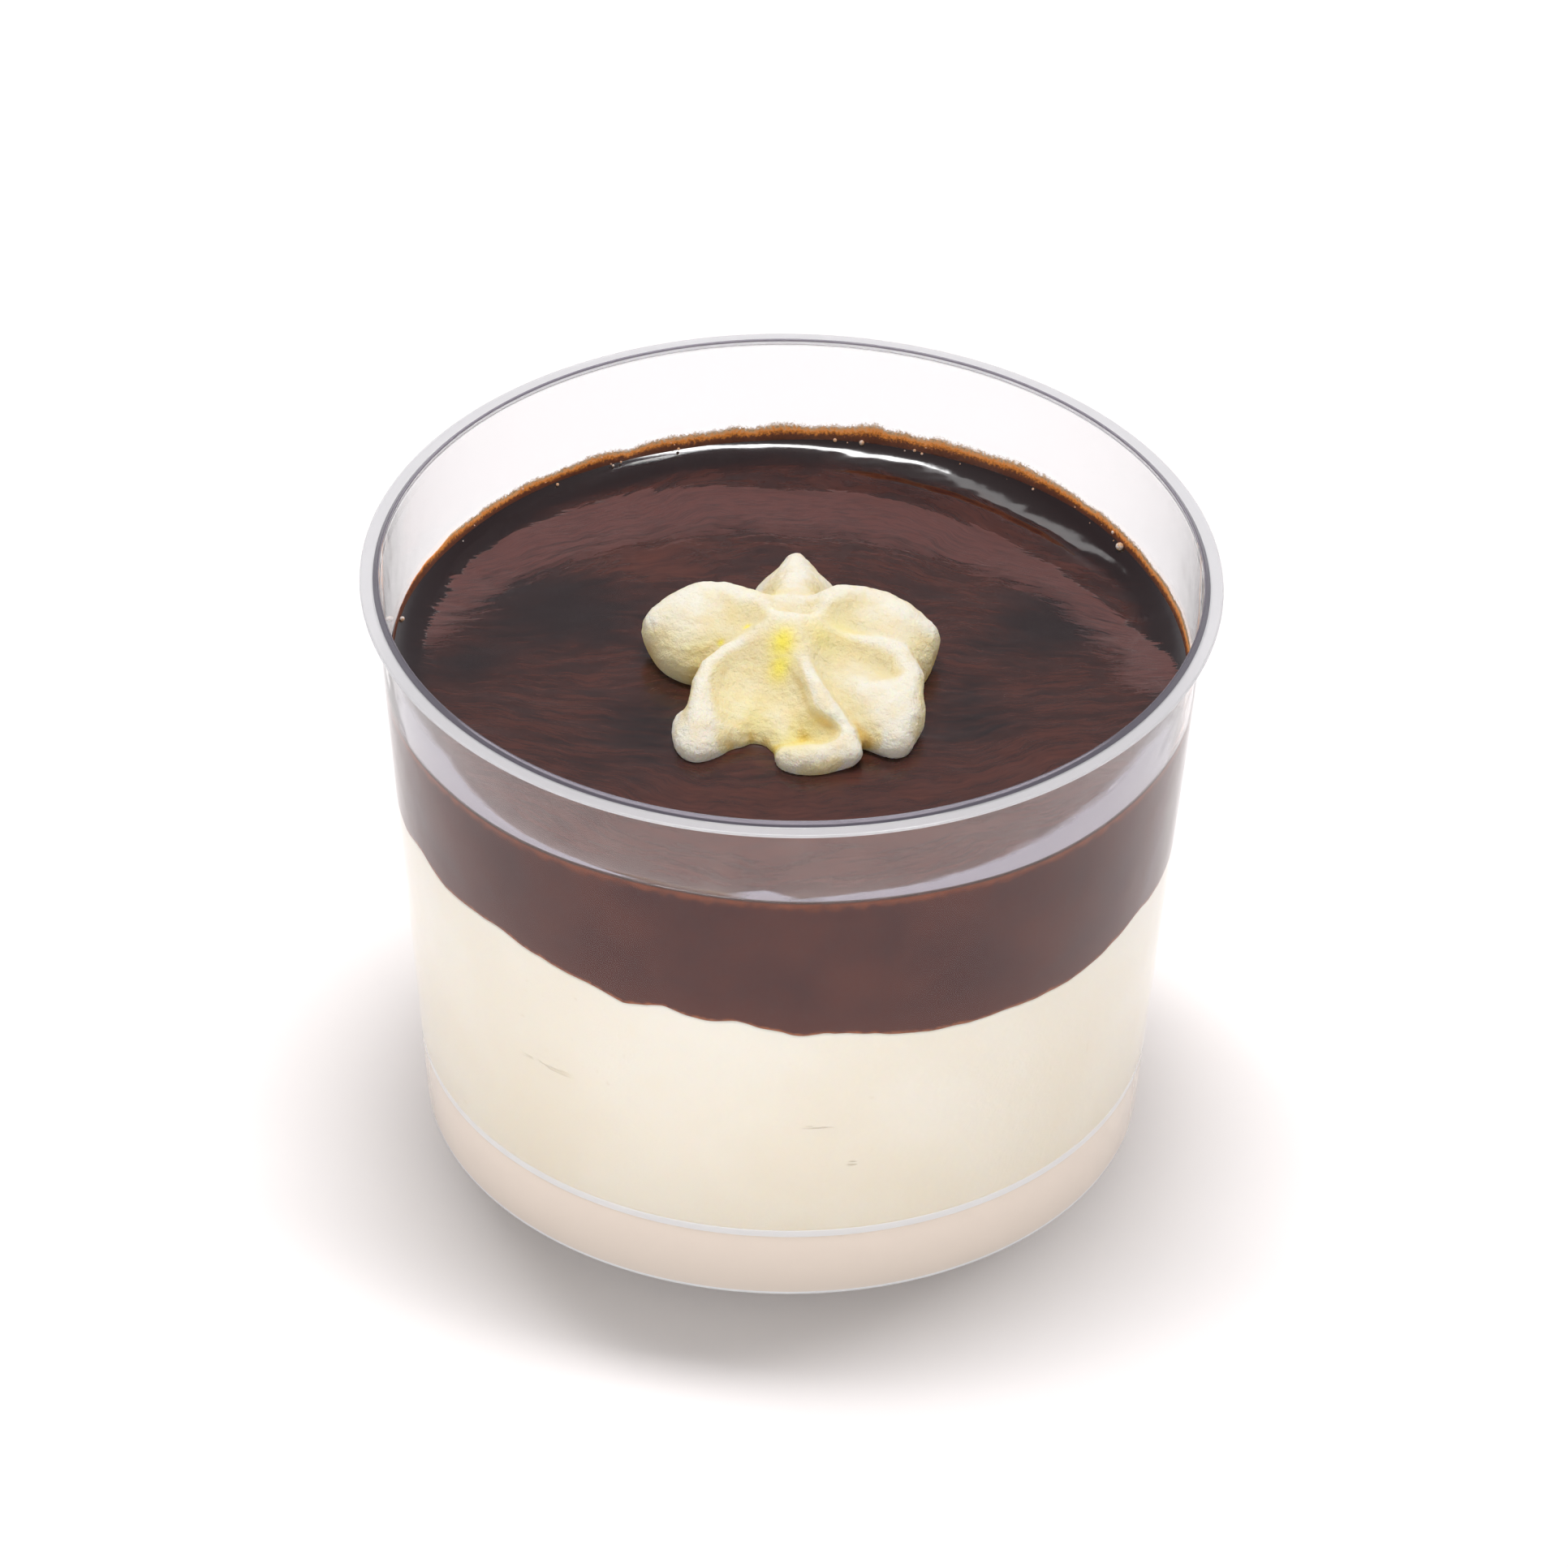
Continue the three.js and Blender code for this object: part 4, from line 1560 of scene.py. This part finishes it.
    def build(self) -> bpy.types.Object:
        """Builds the star with its lumps, its grain and the traits that paint light and shade into its colour.

        Returns:
            The star, dressed and handed over.
        """
        rings = self.skin() + (0, 0, self.level)
        normals = self.normals(rings)
        crest_light = self.crest_light(rings, normals)
        seat = self.level - self.sink
        free = smooth_step(rings[..., 2], *(seat + height for height in self.free_span))
        tipward = smooth_step(np.linalg.norm(rings[..., :2], axis=-1), *self.tip_span)
        push = self.lumps * ripples(rings, self.lump_size, 2, 11.0)
        push = push + self.grain * ripples(rings, self.grain_size, 3, 5.0)
        push = push * free * tipward - self.pinch.share(rings)
        rings = rings + normals * push[..., None]
        traits = {Trait.CREST_SHADING: crest_light, Trait.VALLEY_GLOW: np.max([valley_glow.share(rings) for valley_glow in self.valley_glows], axis=0)}
        top = rings[-1].mean(axis=0)
        piece = skin_mesh("cream_star_piped", rings, ((0, 0, seat), top), traits)
        piece.data.materials.append(self.finish.material())
        return hand_over(piece, Slot.WHIPPED_CREAM, "cream_star")


@dataclass(frozen=True)
class Patch:
    """Oval patch of the sauce that is darker, or redder where its weight is positive."""

    x: float
    y: float
    wide: float
    deep: float
    weight: float

    def share(self, points: np.ndarray) -> np.ndarray:
        """What the patch adds to the red-brown tone at points that have X, Y and Z on the last axis."""
        across, back = (points[..., 0] - self.x) / self.wide, (points[..., 1] - self.y) / self.deep
        return self.weight * np.exp(-(across**2) - back**2)


@dataclass
class SauceLayer:
    """Layer of chocolate sauce with its skin, its fold at the back right and the rise along the wall."""

    cup: DessertCup
    cream: CreamLayer
    star: CreamStar
    level: float = 49.5
    edge_level: float = 50.75
    edge_sway: float = 0.2
    edge_near: float = 0.95
    near_side: float = -8.0
    near_width: float = 42.0
    edge_ripple: float = 0.08
    meniscus: float = 1.7
    lean: float = 0.35
    lean_arc: Arc = (20.0, 40.0, 76.0, 96.0)
    lip_slope: Table = ((0.0, 0.85), (1.6, 0.46), (3.0, 0.36), (3.4, 0.10), (4.2, 0.0))
    lip_width: float = 4.6
    lip_steps: int = 93
    reach: float = 0.14
    fold_radius: float = 34.95
    fold_sway: float = 0.25
    fold_width: float = 2.8
    fold_fall: float = 1.3
    fold_height: float = 0.12
    fold_arc: Arc = (24.0, 36.0, 70.0, 92.0)
    foot_rise: float = 0.16
    foot_width: float = 0.3
    swell: float = 0.05
    swell_size: Point = (9.0, 5.0, 9.0)
    wrinkle: float = 0.012
    wrinkle_size: Point = (2.6, 0.8, 2.0)
    columns: int = 480
    side_rows: int = 24
    side_edges: Span = (0.06, 0.92)
    calm_span: Span = (39.3, 37.0)
    wall_radii: tuple[float, ...] = (39.36, 39.28, 39.15)
    ring_spans: tuple[tuple[float, float, int], ...] = ((0.6, 8, 10), (8, 19, 48), (19, 31, 20), (31, 39, 62))
    glow: float = 0.57
    patches: tuple[Patch, ...] = (
        Patch(-23.0, 11.0, 8.0, 6.5, -0.50),
        Patch(-33.0, 1.0, 5.0, 4.0, -0.35),
        Patch(26.0, 9.5, 5.5, 5.0, -0.55),
        Patch(-14.0, -9.0, 5.0, 5.0, -0.30),
        Patch(18.0, -7.0, 4.5, 6.0, -0.30),
        Patch(-15.0, 19.0, 6.0, 4.0, 0.25),
        Patch(22.0, -14.0, 8.0, 5.0, 0.20),
        Patch(0.0, -25.0, 16.0, 7.0, 0.20),
    )
    ember_radius: Span = (38.0, 35.0)
    ember_front: Span = (-4.0, -22.0)
    # Where the dried crescent lies, with rougher skin and a painted sheen.
    sheen_skin_arc: Arc = (-18.0, 4.0, 166.0, 190.0)
    sheen_skin_fades: tuple[float, float, float] = (7.0, 4.0, 1.2)
    sheen_skin_inner: Table = (
        (-12, 38), (-6, 37), (0, 34.5), (15, 32.5), (30, 30.5), (42, 28), (63, 26), (90, 25.5),
        (120, 28), (135, 30), (150, 32.5), (165, 35), (176, 37),
    )
    sheen_skin_outer: Table = (
        (-12, 39), (0, 38.6), (5, 37.8), (18, 34.5), (30, 33), (45, 32), (59, 31.8), (73, 32.3),
        (93, 32), (115, 34.6), (134, 35.8), (150, 36.8), (176, 36.2),
    )
    finish: ChocolateSauce = field(default_factory=ChocolateSauce)

    def edge(self, azimuth: np.ndarray) -> np.ndarray:
        """Line at which the sauce touches the wall.

        Args:
            azimuth: Directions in degrees.

        Returns:
            Its height in each direction.
        """
        a = np.radians(azimuth)
        sway = self.edge_sway * np.sin(2 * a + 0.6) + self.edge_ripple * np.sin(9 * a)
        near = self.edge_near * bell(turn_from(azimuth, FRONT), self.near_side, self.near_width)
        return self.edge_level + sway + near + self.lean * arc_window(azimuth, self.lean_arc)

    def lip(self, gap: np.ndarray) -> np.ndarray:
        """Section of the thick lip with which the sauce leans on the wall at the back right.

        Args:
            gap: Distances from the wall.

        Returns:
            The lip's height there, as a share of its height at the wall.
        """
        steps = np.linspace(0.0, self.lip_width, self.lip_steps)
        slope = np.interp(steps, *zip(*self.lip_slope))
        height = np.cumsum(slope[::-1])[::-1]
        return np.interp(gap, steps, height / height[0])

    def surface(self, azimuth: np.ndarray, radius: np.ndarray, foot: np.ndarray) -> np.ndarray:
        """Open surface, before its swell and its wrinkles.

        Args:
            azimuth: Directions in degrees.
            radius: Radius in each direction.
            foot: Radius of the star's foot in each direction.

        Returns:
            The surface's height in each direction.
        """
        gap = self.cup.inner_radius(self.level) - radius
        leaning = arc_window(azimuth, self.lean_arc)
        climb = (1 - leaning) * np.exp(-gap / self.meniscus) + leaning * self.lip(gap)
        z = self.level + (self.edge(azimuth) - self.level) * climb
        crown = self.fold_radius + self.fold_sway * np.sin(np.radians(azimuth * 5))
        climb = smooth_step(radius, crown - self.fold_width, crown)
        climb = climb * smooth_step(radius, crown + self.fold_fall, crown)
        z = z + self.fold_height * arc_window(azimuth, self.fold_arc) * climb
        return z + self.foot_rise * np.exp(-np.abs(radius - foot) / self.foot_width)

    def dry_and_sheen(self, azimuth: np.ndarray, radius: np.ndarray) -> tuple[np.ndarray, np.ndarray]:
        """How far inside the dried crescent at the back points lie; the crescent carries rougher skin and a painted
        sheen.

        Args:
            azimuth: Their directions in degrees.
            radius: Their radii.

        Returns:
            Shares counted from the crescent's inner and from its outer side.
        """
        inner, outer = (np.interp(azimuth, *np.array(table).T) for table in (self.sheen_skin_inner, self.sheen_skin_outer))
        before, behind, across = self.sheen_skin_fades
        inside = smooth_step(radius, inner - before, inner + behind) * arc_window(azimuth, self.sheen_skin_arc)
        return inside, smooth_step(radius, outer + across, outer - across)

    def ember(self, points: np.ndarray) -> np.ndarray:
        """Share of the red-brown tone, less in a few dark patches and right along the wall at the back.

        Args:
            points: Points, with X, Y and Z on the last axis.

        Returns:
            One share for each point.
        """
        share = np.full(points.shape[:-1], self.glow)
        for patch in self.patches:
            share += patch.share(points)
        radius = np.hypot(points[..., 0], points[..., 1])
        inside, before = smooth_step(radius, *self.ember_radius), smooth_step(points[..., 1], *self.ember_front)
        return share * np.maximum(inside, before)

    def radii(self) -> np.ndarray:
        """Radii of the open surface's rings, closer together at the star and along the wall.

        Returns:
            The radii, from the wall inwards.
        """
        inner = np.concatenate([np.linspace(a, b, n, endpoint=False) for a, b, n in self.ring_spans])[::-1]
        return np.concatenate([self.wall_radii, inner])

    def build(self) -> bpy.types.Object:
        """Builds the layer.

        Returns:
            The sauce, dressed and handed over.
        """
        cup = self.cup
        azimuth = np.linspace(-90, 270, self.columns, endpoint=False)
        low, high, foot = self.cream.edge(azimuth), self.edge(azimuth), self.star.foot(azimuth)
        rings, levels, seams = [], [], []

        def add(ring: np.ndarray, level: np.ndarray | float, seam: np.ndarray | float) -> None:
            """Keeps a ring with its traits.

            Args:
                ring: Points of the ring.
                level: Their height above the sauce's edge.
                seam: Their height above the cream's edge.
            """
            rings.append(ring)
            levels.append(np.broadcast_to(level, azimuth.shape))
            seams.append(np.broadcast_to(seam, azimuth.shape))

        for share in self.cream.top_shares[::-1]:
            add(polar(share * cup.inner_radius(low), azimuth, self.cream.top(azimuth, share)), -3.0, 0.0)
        first, last = self.side_edges
        middle = np.linspace(first, last, self.side_rows)
        for t in np.concatenate([np.linspace(0, first, 8)[:-1], middle, np.linspace(last, 1, 10)[1:]]):
            z = low + (high - low) * t
            add(polar(cup.inner_radius(z) + self.reach, azimuth, z), (t - 1) * (high - low), t * (high - low))
        for r in self.radii():
            radius = np.full_like(azimuth, r)
            ring = polar(radius, azimuth, self.surface(azimuth, radius, foot))
            swell = ripples(ring, self.swell_size, 3, 2.0) * self.swell
            wrinkles = ripples(ring, self.wrinkle_size, 2, 8.0) * self.wrinkle
            ring[:, 2] += (swell + wrinkles) * smooth_step(radius, *self.calm_span)
            add(ring, 0.2, 9.0)
        points = np.array(rings)
        bottom = (0, 0, self.cream.top_centre + self.cream.half_gap)
        radii = np.hypot(points[..., 0], points[..., 1])
        sheen_skin_in, sheen_skin_out = self.dry_and_sheen(np.broadcast_to(azimuth, radii.shape), radii)
        traits = {
            Trait.LEVEL: np.array(levels),
            Trait.SEAM: np.array(seams),
            Trait.SHEEN_SKIN_IN: sheen_skin_in,
            Trait.SHEEN_SKIN_OUT: sheen_skin_out,
            Trait.EMBER: self.ember(points),
        }
        piece = skin_mesh("chocolate_sauce", points, (bottom, (0, 0, self.level)), traits)
        piece.data.materials.append(self.finish.material())
        return hand_over(piece, Slot.CHOCOLATE_SAUCE, "chocolate_layer")


@dataclass
class SauceFilm:
    """Thin film of sauce on the wall above the sauce, ragged along its top; in front it ends in the sauce."""

    cup: DessertCup
    sauce: SauceLayer
    height: float = 2.3
    least: float = 0.06
    most: float = 1.04
    heading: float = 75.0
    spread: float = 72.0
    foot: float = 0.35
    foot_thickness: float = 0.32
    top_thickness: float = 0.03
    thinning: float = 1.5
    reach: float = 0.04
    sunk_span: Span = (0.3, 0.1)
    sinking: float = 0.7
    receding: float = 0.3
    fray: float = 0.28
    fray_size: float = 3.0
    full_span: Span = (0.0, 0.75)
    columns: int = 900
    rows: int = 14
    finish: CaramelFilm = field(default_factory=CaramelFilm)

    def reach_up(self, azimuth: np.ndarray) -> np.ndarray:
        """How far up the wall the film goes.

        Args:
            azimuth: Directions in degrees.

        Returns:
            Its height above the sauce's edge in each direction.
        """
        ring = polar(np.full_like(azimuth, 39.0), azimuth, np.zeros_like(azimuth))
        return self.height * self.fullness(azimuth) * (1 + self.fray * ripples(ring, self.fray_size, 4, 21.0))

    def fullness(self, azimuth: np.ndarray) -> np.ndarray:
        """Share of the film's height in each direction, greatest at the back."""
        return self.least + self.most * bell(turn_from(azimuth, self.heading), 0.0, self.spread)

    def build(self) -> bpy.types.Object:
        """Builds the film as a thin closed band.

        Returns:
            The film, dressed and handed over.
        """
        azimuth = np.linspace(-90, 270, self.columns, endpoint=False)
        fullness = self.fullness(azimuth)
        sunk = smooth_step(fullness, *self.sunk_span)
        start = self.sauce.edge(azimuth) - self.foot - self.sinking * sunk
        up = self.reach_up(azimuth) + self.foot
        inner, outer, values = [], [], []
        for t in np.linspace(0, 1, self.rows):
            z = start + up * t
            thickness = self.foot_thickness * (1 - t) ** self.thinning + self.top_thickness
            inner.append(polar(self.cup.inner_radius(z) - thickness - self.receding * sunk, azimuth, z))
            outer.append(polar(self.cup.inner_radius(z) + self.reach - self.receding * sunk, azimuth, z))
            values.append(t * smooth_step(fullness, *self.full_span))
        piece = band_mesh("sauce_film", np.array(outer + inner[::-1]), np.array(values + values[::-1]))
        piece.data.materials.append(self.finish.material())
        return hand_over(piece, Slot.CHOCOLATE_SAUCE)


@dataclass
class WallSmear:
    """Veil of sauce on the inside of the front wall, from the sauce's edge up to the rim."""

    cup: DessertCup
    sauce: SauceLayer
    top: float = 60.3
    foot: float = 0.2
    thickness: float = 0.03
    spread: float = 84.0
    fade: float = 30.0
    columns: int = 360
    rows: int = 16
    finish: SauceSmear = field(default_factory=SauceSmear)

    def build(self) -> bpy.types.Object:
        """Builds the veil as a thin closed band that fades away towards the back.

        Returns:
            The veil, dressed and handed over.
        """
        azimuth = np.linspace(-90, 270, self.columns, endpoint=False)
        start = self.sauce.edge(azimuth) - self.foot
        window = smooth_step(np.abs(turn_from(azimuth, FRONT)), self.spread, self.spread - self.fade)
        heights = [start + (self.top - start) * t for t in np.linspace(0, 1, self.rows)]
        inner, outer = (
            [polar(self.cup.inner_radius(z) + lift, azimuth, z) for z in heights]
            for lift in (-self.thickness, self.thickness)
        )
        piece = band_mesh("wall_smear", np.array(outer + inner[::-1]), np.array([window] * 2 * self.rows))
        piece.data.materials.append(self.finish.material())
        return hand_over(piece, Slot.CHOCOLATE_SAUCE)


@dataclass
class WallGleams:
    """Pale crescents of painted glint on the inside of the front wall, where the sauce's edge has come away from it.

    Each is a table of directions counted from the front and of the crescent's height there.
    """

    cup: DessertCup
    sauce: SauceLayer
    left: Table = ((-76, 9.0), (-66, 8.0), (-55, 6.0), (-50, 3.4), (-43, 1.6), (-34, 0.9), (-26, 0.35), (-19, 0.2))
    middle: Table = ((-10, 0.2), (-6, 1.1), (-3, 1.7), (0, 1.1), (5, 0.3))
    right: Table = (
        (-2, 0.25), (8, 1.0), (18, 1.5), (26, 2.3), (33, 3.2), (43, 4.8), (51, 6.2), (58, 8.0), (72, 9.0),
    )
    lift: float = 0.12
    rim_gap: float = 0.4
    fade: float = 7.0
    top_span: Span = (1.0, 0.35)
    thickness: float = 0.025
    columns: int = 150
    rows: int = 14
    finish: SauceGleam = field(default_factory=SauceGleam)

    def sheet(self, table: Table) -> tuple[np.ndarray, np.ndarray]:
        """Points of one crescent, a thin sheet.

        Args:
            table: The crescent's directions and heights.

        Returns:
            Its points by side, row and column, outside first, and the film trait by row and column.
        """
        turns, tall = np.array(table, dtype=float).T
        side = np.linspace(turns[0], turns[-1], self.columns)
        low = self.sauce.edge(side + FRONT) + self.lift
        high = np.minimum(low + np.interp(side, turns, tall), self.cup.shoulder_height - self.rim_gap)
        share = np.linspace(0, 1, self.rows)[:, None]
        z = low + (high - low) * share
        ends = np.clip(np.minimum(side - turns[0], turns[-1] - side) / self.fade, 0, 1)
        radius = self.cup.inner_radius(z)
        sides = [polar(radius + lift, side + FRONT, z) for lift in (self.thickness, -self.thickness)]
        return np.array(sides), ends * smooth_step(share, *self.top_span)

    def sheet_faces(self) -> Faces:
        """Faces of one closed sheet.

        Returns:
            The numbers of each face's points: both sides, cell by cell, and then the edge all the way round.
        """
        index = np.arange(self.rows * self.columns).reshape(self.rows, self.columns)
        count = index.size
        first, second = slice(None, -1), slice(1, None)
        corners = ((first, first), (first, second), (second, second), (second, first))
        faces: Faces = []
        for a, b, c, d in zip(*(index[corner].ravel().tolist() for corner in corners)):
            faces += [[a, b, c, d], [d + count, c + count, b + count, a + count]]
        border = [*index[0], *index[1:, -1], *index[-1, -2::-1], *index[-2:0:-1, 0]]
        for a, b in zip(border, border[1:] + border[:1]):
            faces.append([int(b), int(a), int(a) + count, int(b) + count])
        return faces

    def build(self) -> bpy.types.Object:
        """Builds the crescents.

        Returns:
            The crescents, dressed and handed over.
        """
        sheets = [self.sheet(table) for table in (self.left, self.middle, self.right)]
        points = np.concatenate([spots.reshape(-1, 3) for spots, _ in sheets])
        values = np.concatenate([np.tile(fade.ravel(), 2) for _, fade in sheets])
        step = 2 * self.rows * self.columns
        faces = [[corner + n * step for corner in face] for n in range(len(sheets)) for face in self.sheet_faces()]
        piece = mesh_piece("wall_gleams", points, faces, {Trait.FILM: values})
        piece.data.materials.append(self.finish.material())
        return hand_over(piece, Slot.CHOCOLATE_SAUCE)


@dataclass
class EdgeBubbles:
    """Air bubbles in the sauce's edge: small ones scattered at the back right and a few larger ones.

    The larger ones are given by their direction and their radius.
    """

    cup: DessertCup
    sauce: SauceLayer
    count: int = 26
    first: float = 28.0
    last: float = 150.0
    from_wall: Span = (0.12, 0.75)
    below: float = 0.35
    above: float = 0.7
    smallest: float = 0.07
    largest: float = 0.20
    smallness: float = 3.0
    seed: int = 7
    singles: Table = ((84.0, 0.20), (80.0, 0.27), (72.0, 0.17), (170.0, 0.26), (33.0, 0.42))
    single_level: float = 50.6
    single_gap: float = 0.15
    single_drop: float = 0.1
    radius_name: str = "bubble_radius"
    finish: BubbleSkin = field(default_factory=BubbleSkin)

    def single_points(self) -> bpy.types.Mesh:
        """Places the larger bubbles.

        Returns:
            A mesh of their middles, each with its radius in metres.
        """
        azimuth, radius = np.array(self.singles).T
        from_axis = self.cup.inner_radius(self.single_level) - radius - self.single_gap
        places = polar(from_axis, azimuth, self.sauce.edge(azimuth) - self.single_drop)
        mesh = bpy.data.meshes.new("larger_bubbles")
        mesh.from_pydata((places * MM).tolist(), [], [])
        mesh.attributes.new(self.radius_name, "FLOAT", "POINT").data.foreach_set("value", radius * MM)
        return mesh

    def small_points(self, board: GeometryBoard) -> tuple[Socket, Socket]:
        """Scatters the middles of the small bubbles.

        Args:
            board: The board that makes them.

        Returns:
            The points and their radii.
        """
        wall, edge = self.cup.inner_radius(self.sauce.edge_level), self.sauce.edge_level
        closest, farthest = self.from_wall
        count = board.size("Count", self.count)
        first = board.size("First Direction", math.radians(self.first))
        last = board.size("Last Direction", math.radians(self.last))
        near = board.size("Inner Radius", (wall - farthest) * MM)
        far = board.size("Outer Radius", (wall - closest) * MM)
        low = board.size("Lowest", (edge - self.below) * MM)
        high = board.size("Highest", (edge + self.above) * MM)
        smallest = board.size("Smallest Radius", self.smallest * MM)
        largest = board.size("Largest Radius", self.largest * MM)
        points = board.node("GeometryNodePoints", {"Count": count}).outputs[0]
        turn = board.random(first, last, self.seed)
        lift = board.random(0.0, 1.0, self.seed + 1)
        reach = board.math("MULTIPLY_ADD", lift, board.math("SUBTRACT", far, near), near)
        rise = board.math("MULTIPLY_ADD", lift, board.math("SUBTRACT", high, low), low)
        place = board.polar_point(reach, turn, rise)
        placed = board.node("GeometryNodeSetPosition", {"Geometry": points, "Position": place}).outputs[0]
        draw = board.math("POWER", board.random(0.0, 1.0, self.seed + 2), self.smallness)
        return placed, board.math("MULTIPLY_ADD", draw, board.math("SUBTRACT", largest, smallest), smallest)

    def build(self) -> bpy.types.Object:
        """Sets a ball on every point with Geometry Nodes.

        Returns:
            The bubbles, dressed and handed over.
        """
        board = GeometryBoard("edge_bubbles")
        named: Inputs = {"Name": self.radius_name}
        own = board.node("GeometryNodeInputNamedAttribute", named, data_type="FLOAT").outputs[0]
        ball = board.node("GeometryNodeMeshIcoSphere", {"Radius": 1.0, "Subdivisions": 2}).outputs["Mesh"]
        ball = board.node("GeometryNodeSetShadeSmooth", {"Geometry": ball}).outputs[0]
        joined = board.node("GeometryNodeJoinGeometry")
        for points, radius in (self.small_points(board), (board.start.outputs["Geometry"], own)):
            inputs: Inputs = {"Points": points, "Instance": ball, "Scale": radius}
            board.feed(joined.inputs[0], board.node("GeometryNodeInstanceOnPoints", inputs).outputs[0])
        piece = board.grow(joined.outputs[0], self.finish.material(), "edge_bubbles", self.single_points())
        return hand_over(piece, Slot.CHOCOLATE_SAUCE)


# The studio


@dataclass(frozen=True)
class Softbox:
    """Soft light that faces the cup: its middle and its sides in metres, and its power in watts."""

    name: str
    place: Point
    sides: Span
    power: float
    aim: Point = (0.0, 0.0, 0.04)

    def hang(self) -> None:
        """Hangs the softbox and turns it to the cup."""
        data = bpy.data.lights.new(self.name, "AREA")
        data.shape = "RECTANGLE"
        data.size, data.size_y = self.sides
        data.energy = self.power
        light = bpy.data.objects.new(self.name, data)
        light.location = self.place
        light.rotation_euler = (Vector(self.aim) - Vector(self.place)).to_track_quat("-Z", "Y").to_euler()
        bpy.context.scene.collection.objects.link(light)


@dataclass
class Studio:
    """Pale floor, soft light and the photo's camera, whose place is in metres and whose sides are directions."""

    camera_place: Point = (0.0, -1.261147, 0.963043)
    camera_right: Point = (0.999812, 0.011682, 0.015505)
    camera_up: Point = (-0.019412, 0.591975, 0.805723)
    camera_clip: Span = (0.1, 50.0)
    lens: float = 362.4
    sensor: float = 36.0
    floor_side: float = 8000.0
    floor_drop: float = 0.02
    floor_finish: StudioFloor = field(default_factory=StudioFloor)
    softboxes: tuple[Softbox, ...] = (
        Softbox("key_softbox", (0.03, 0.15, 1.0), (0.55, 0.13), 7.6),
        Softbox("strip_softbox", (-0.27, 0.36, 0.89), (0.10, 0.44), 0.45),
        Softbox("front_softbox", (-0.1, -0.85, 0.14), (3.0, 0.24), 7.2),
    )
    front_air: float = 0.3
    front_air_to: float = -0.5
    air: tuple[tuple[float, Colour], ...] = (
        (0.0, (1.05, 1.055, 1.065)),
        (0.30, (0.98, 0.985, 1.02)),
        (0.50, (0.46, 0.46, 0.49)),
        (0.75, (0.30, 0.30, 0.32)),
        (0.93, (0.52, 0.52, 0.54)),
        (1.0, (0.52, 0.52, 0.52)),
    )

    def floor(self) -> None:
        """Lays the floor just under the foot."""
        half = self.floor_side / 2
        corners = np.array([(x * half, y * half, -self.floor_drop) for x, y in ((-1, -1), (1, -1), (1, 1), (-1, 1))])
        floor = mesh_piece("studio_floor", corners, [[0, 1, 2, 3]])
        floor.data.materials.append(self.floor_finish.material())

    def world(self) -> None:
        """Surrounds the set with a white light tent, brightest near the horizon and dimmer in front."""
        world = bpy.data.worlds.new("studio_air")
        world.use_nodes = True
        bpy.context.scene.world = world
        board = NodeBoard(world.node_tree)
        direction = board.node("ShaderNodeTexCoord").outputs["Generated"]
        parts = board.node("ShaderNodeSeparateXYZ", {0: direction}).outputs
        fall: Inputs = {"Value": parts["Y"], "From Min": self.front_air_to, "From Max": 0.0, "To Min": self.front_air}
        strength = board.node("ShaderNodeMapRange", fall).outputs["Result"]
        light: Inputs = {"Color": board.ramp(parts["Z"], self.air), "Strength": strength}
        background = board.node("ShaderNodeBackground", light).outputs[0]
        board.node("ShaderNodeOutputWorld", {"Surface": background})

    def camera(self) -> None:
        """Places the camera where the photo was taken from."""
        data = bpy.data.cameras.new("photo_camera")
        data.lens = self.lens
        data.sensor_width = self.sensor
        data.clip_start, data.clip_end = self.camera_clip
        right, up = Vector(self.camera_right), Vector(self.camera_up)
        turned = Matrix((right, up, right.cross(up))).transposed().to_4x4()
        camera = bpy.data.objects.new("photo_camera", data)
        camera.matrix_world = Matrix.Translation(self.camera_place) @ turned
        bpy.context.scene.collection.objects.link(camera)
        bpy.context.scene.camera = camera

    def build(self) -> None:
        """Sets up the whole studio."""
        self.floor()
        for softbox in self.softboxes:
            softbox.hang()
        self.world()
        self.camera()
        bpy.context.scene.view_settings.view_transform = "Standard"
        bpy.context.scene.view_settings.look = "None"


def main() -> None:
    """Builds the studio and every piece in order, and reports each piece."""
    logging.basicConfig(level=logging.INFO, format="%(name)s: %(message)s")
    Studio().build()
    cup = DessertCup()
    cream = CreamLayer(cup)
    star = CreamStar()
    sauce = SauceLayer(cup, cream, star)
    builders: list[Callable[[], bpy.types.Object]] = [
        cup.build,
        cream.build,
        sauce.build,
        star.build,
        SauceFilm(cup, sauce).build,
        WallSmear(cup, sauce).build,
        WallGleams(cup, sauce).build,
        EdgeBubbles(cup, sauce).build,
    ]
    for build in builders:
        piece = build()
        LOG.info("%s: %d points, %d faces", piece.name, len(piece.data.vertices), len(piece.data.polygons))


if __name__ == "__main__":
    main()
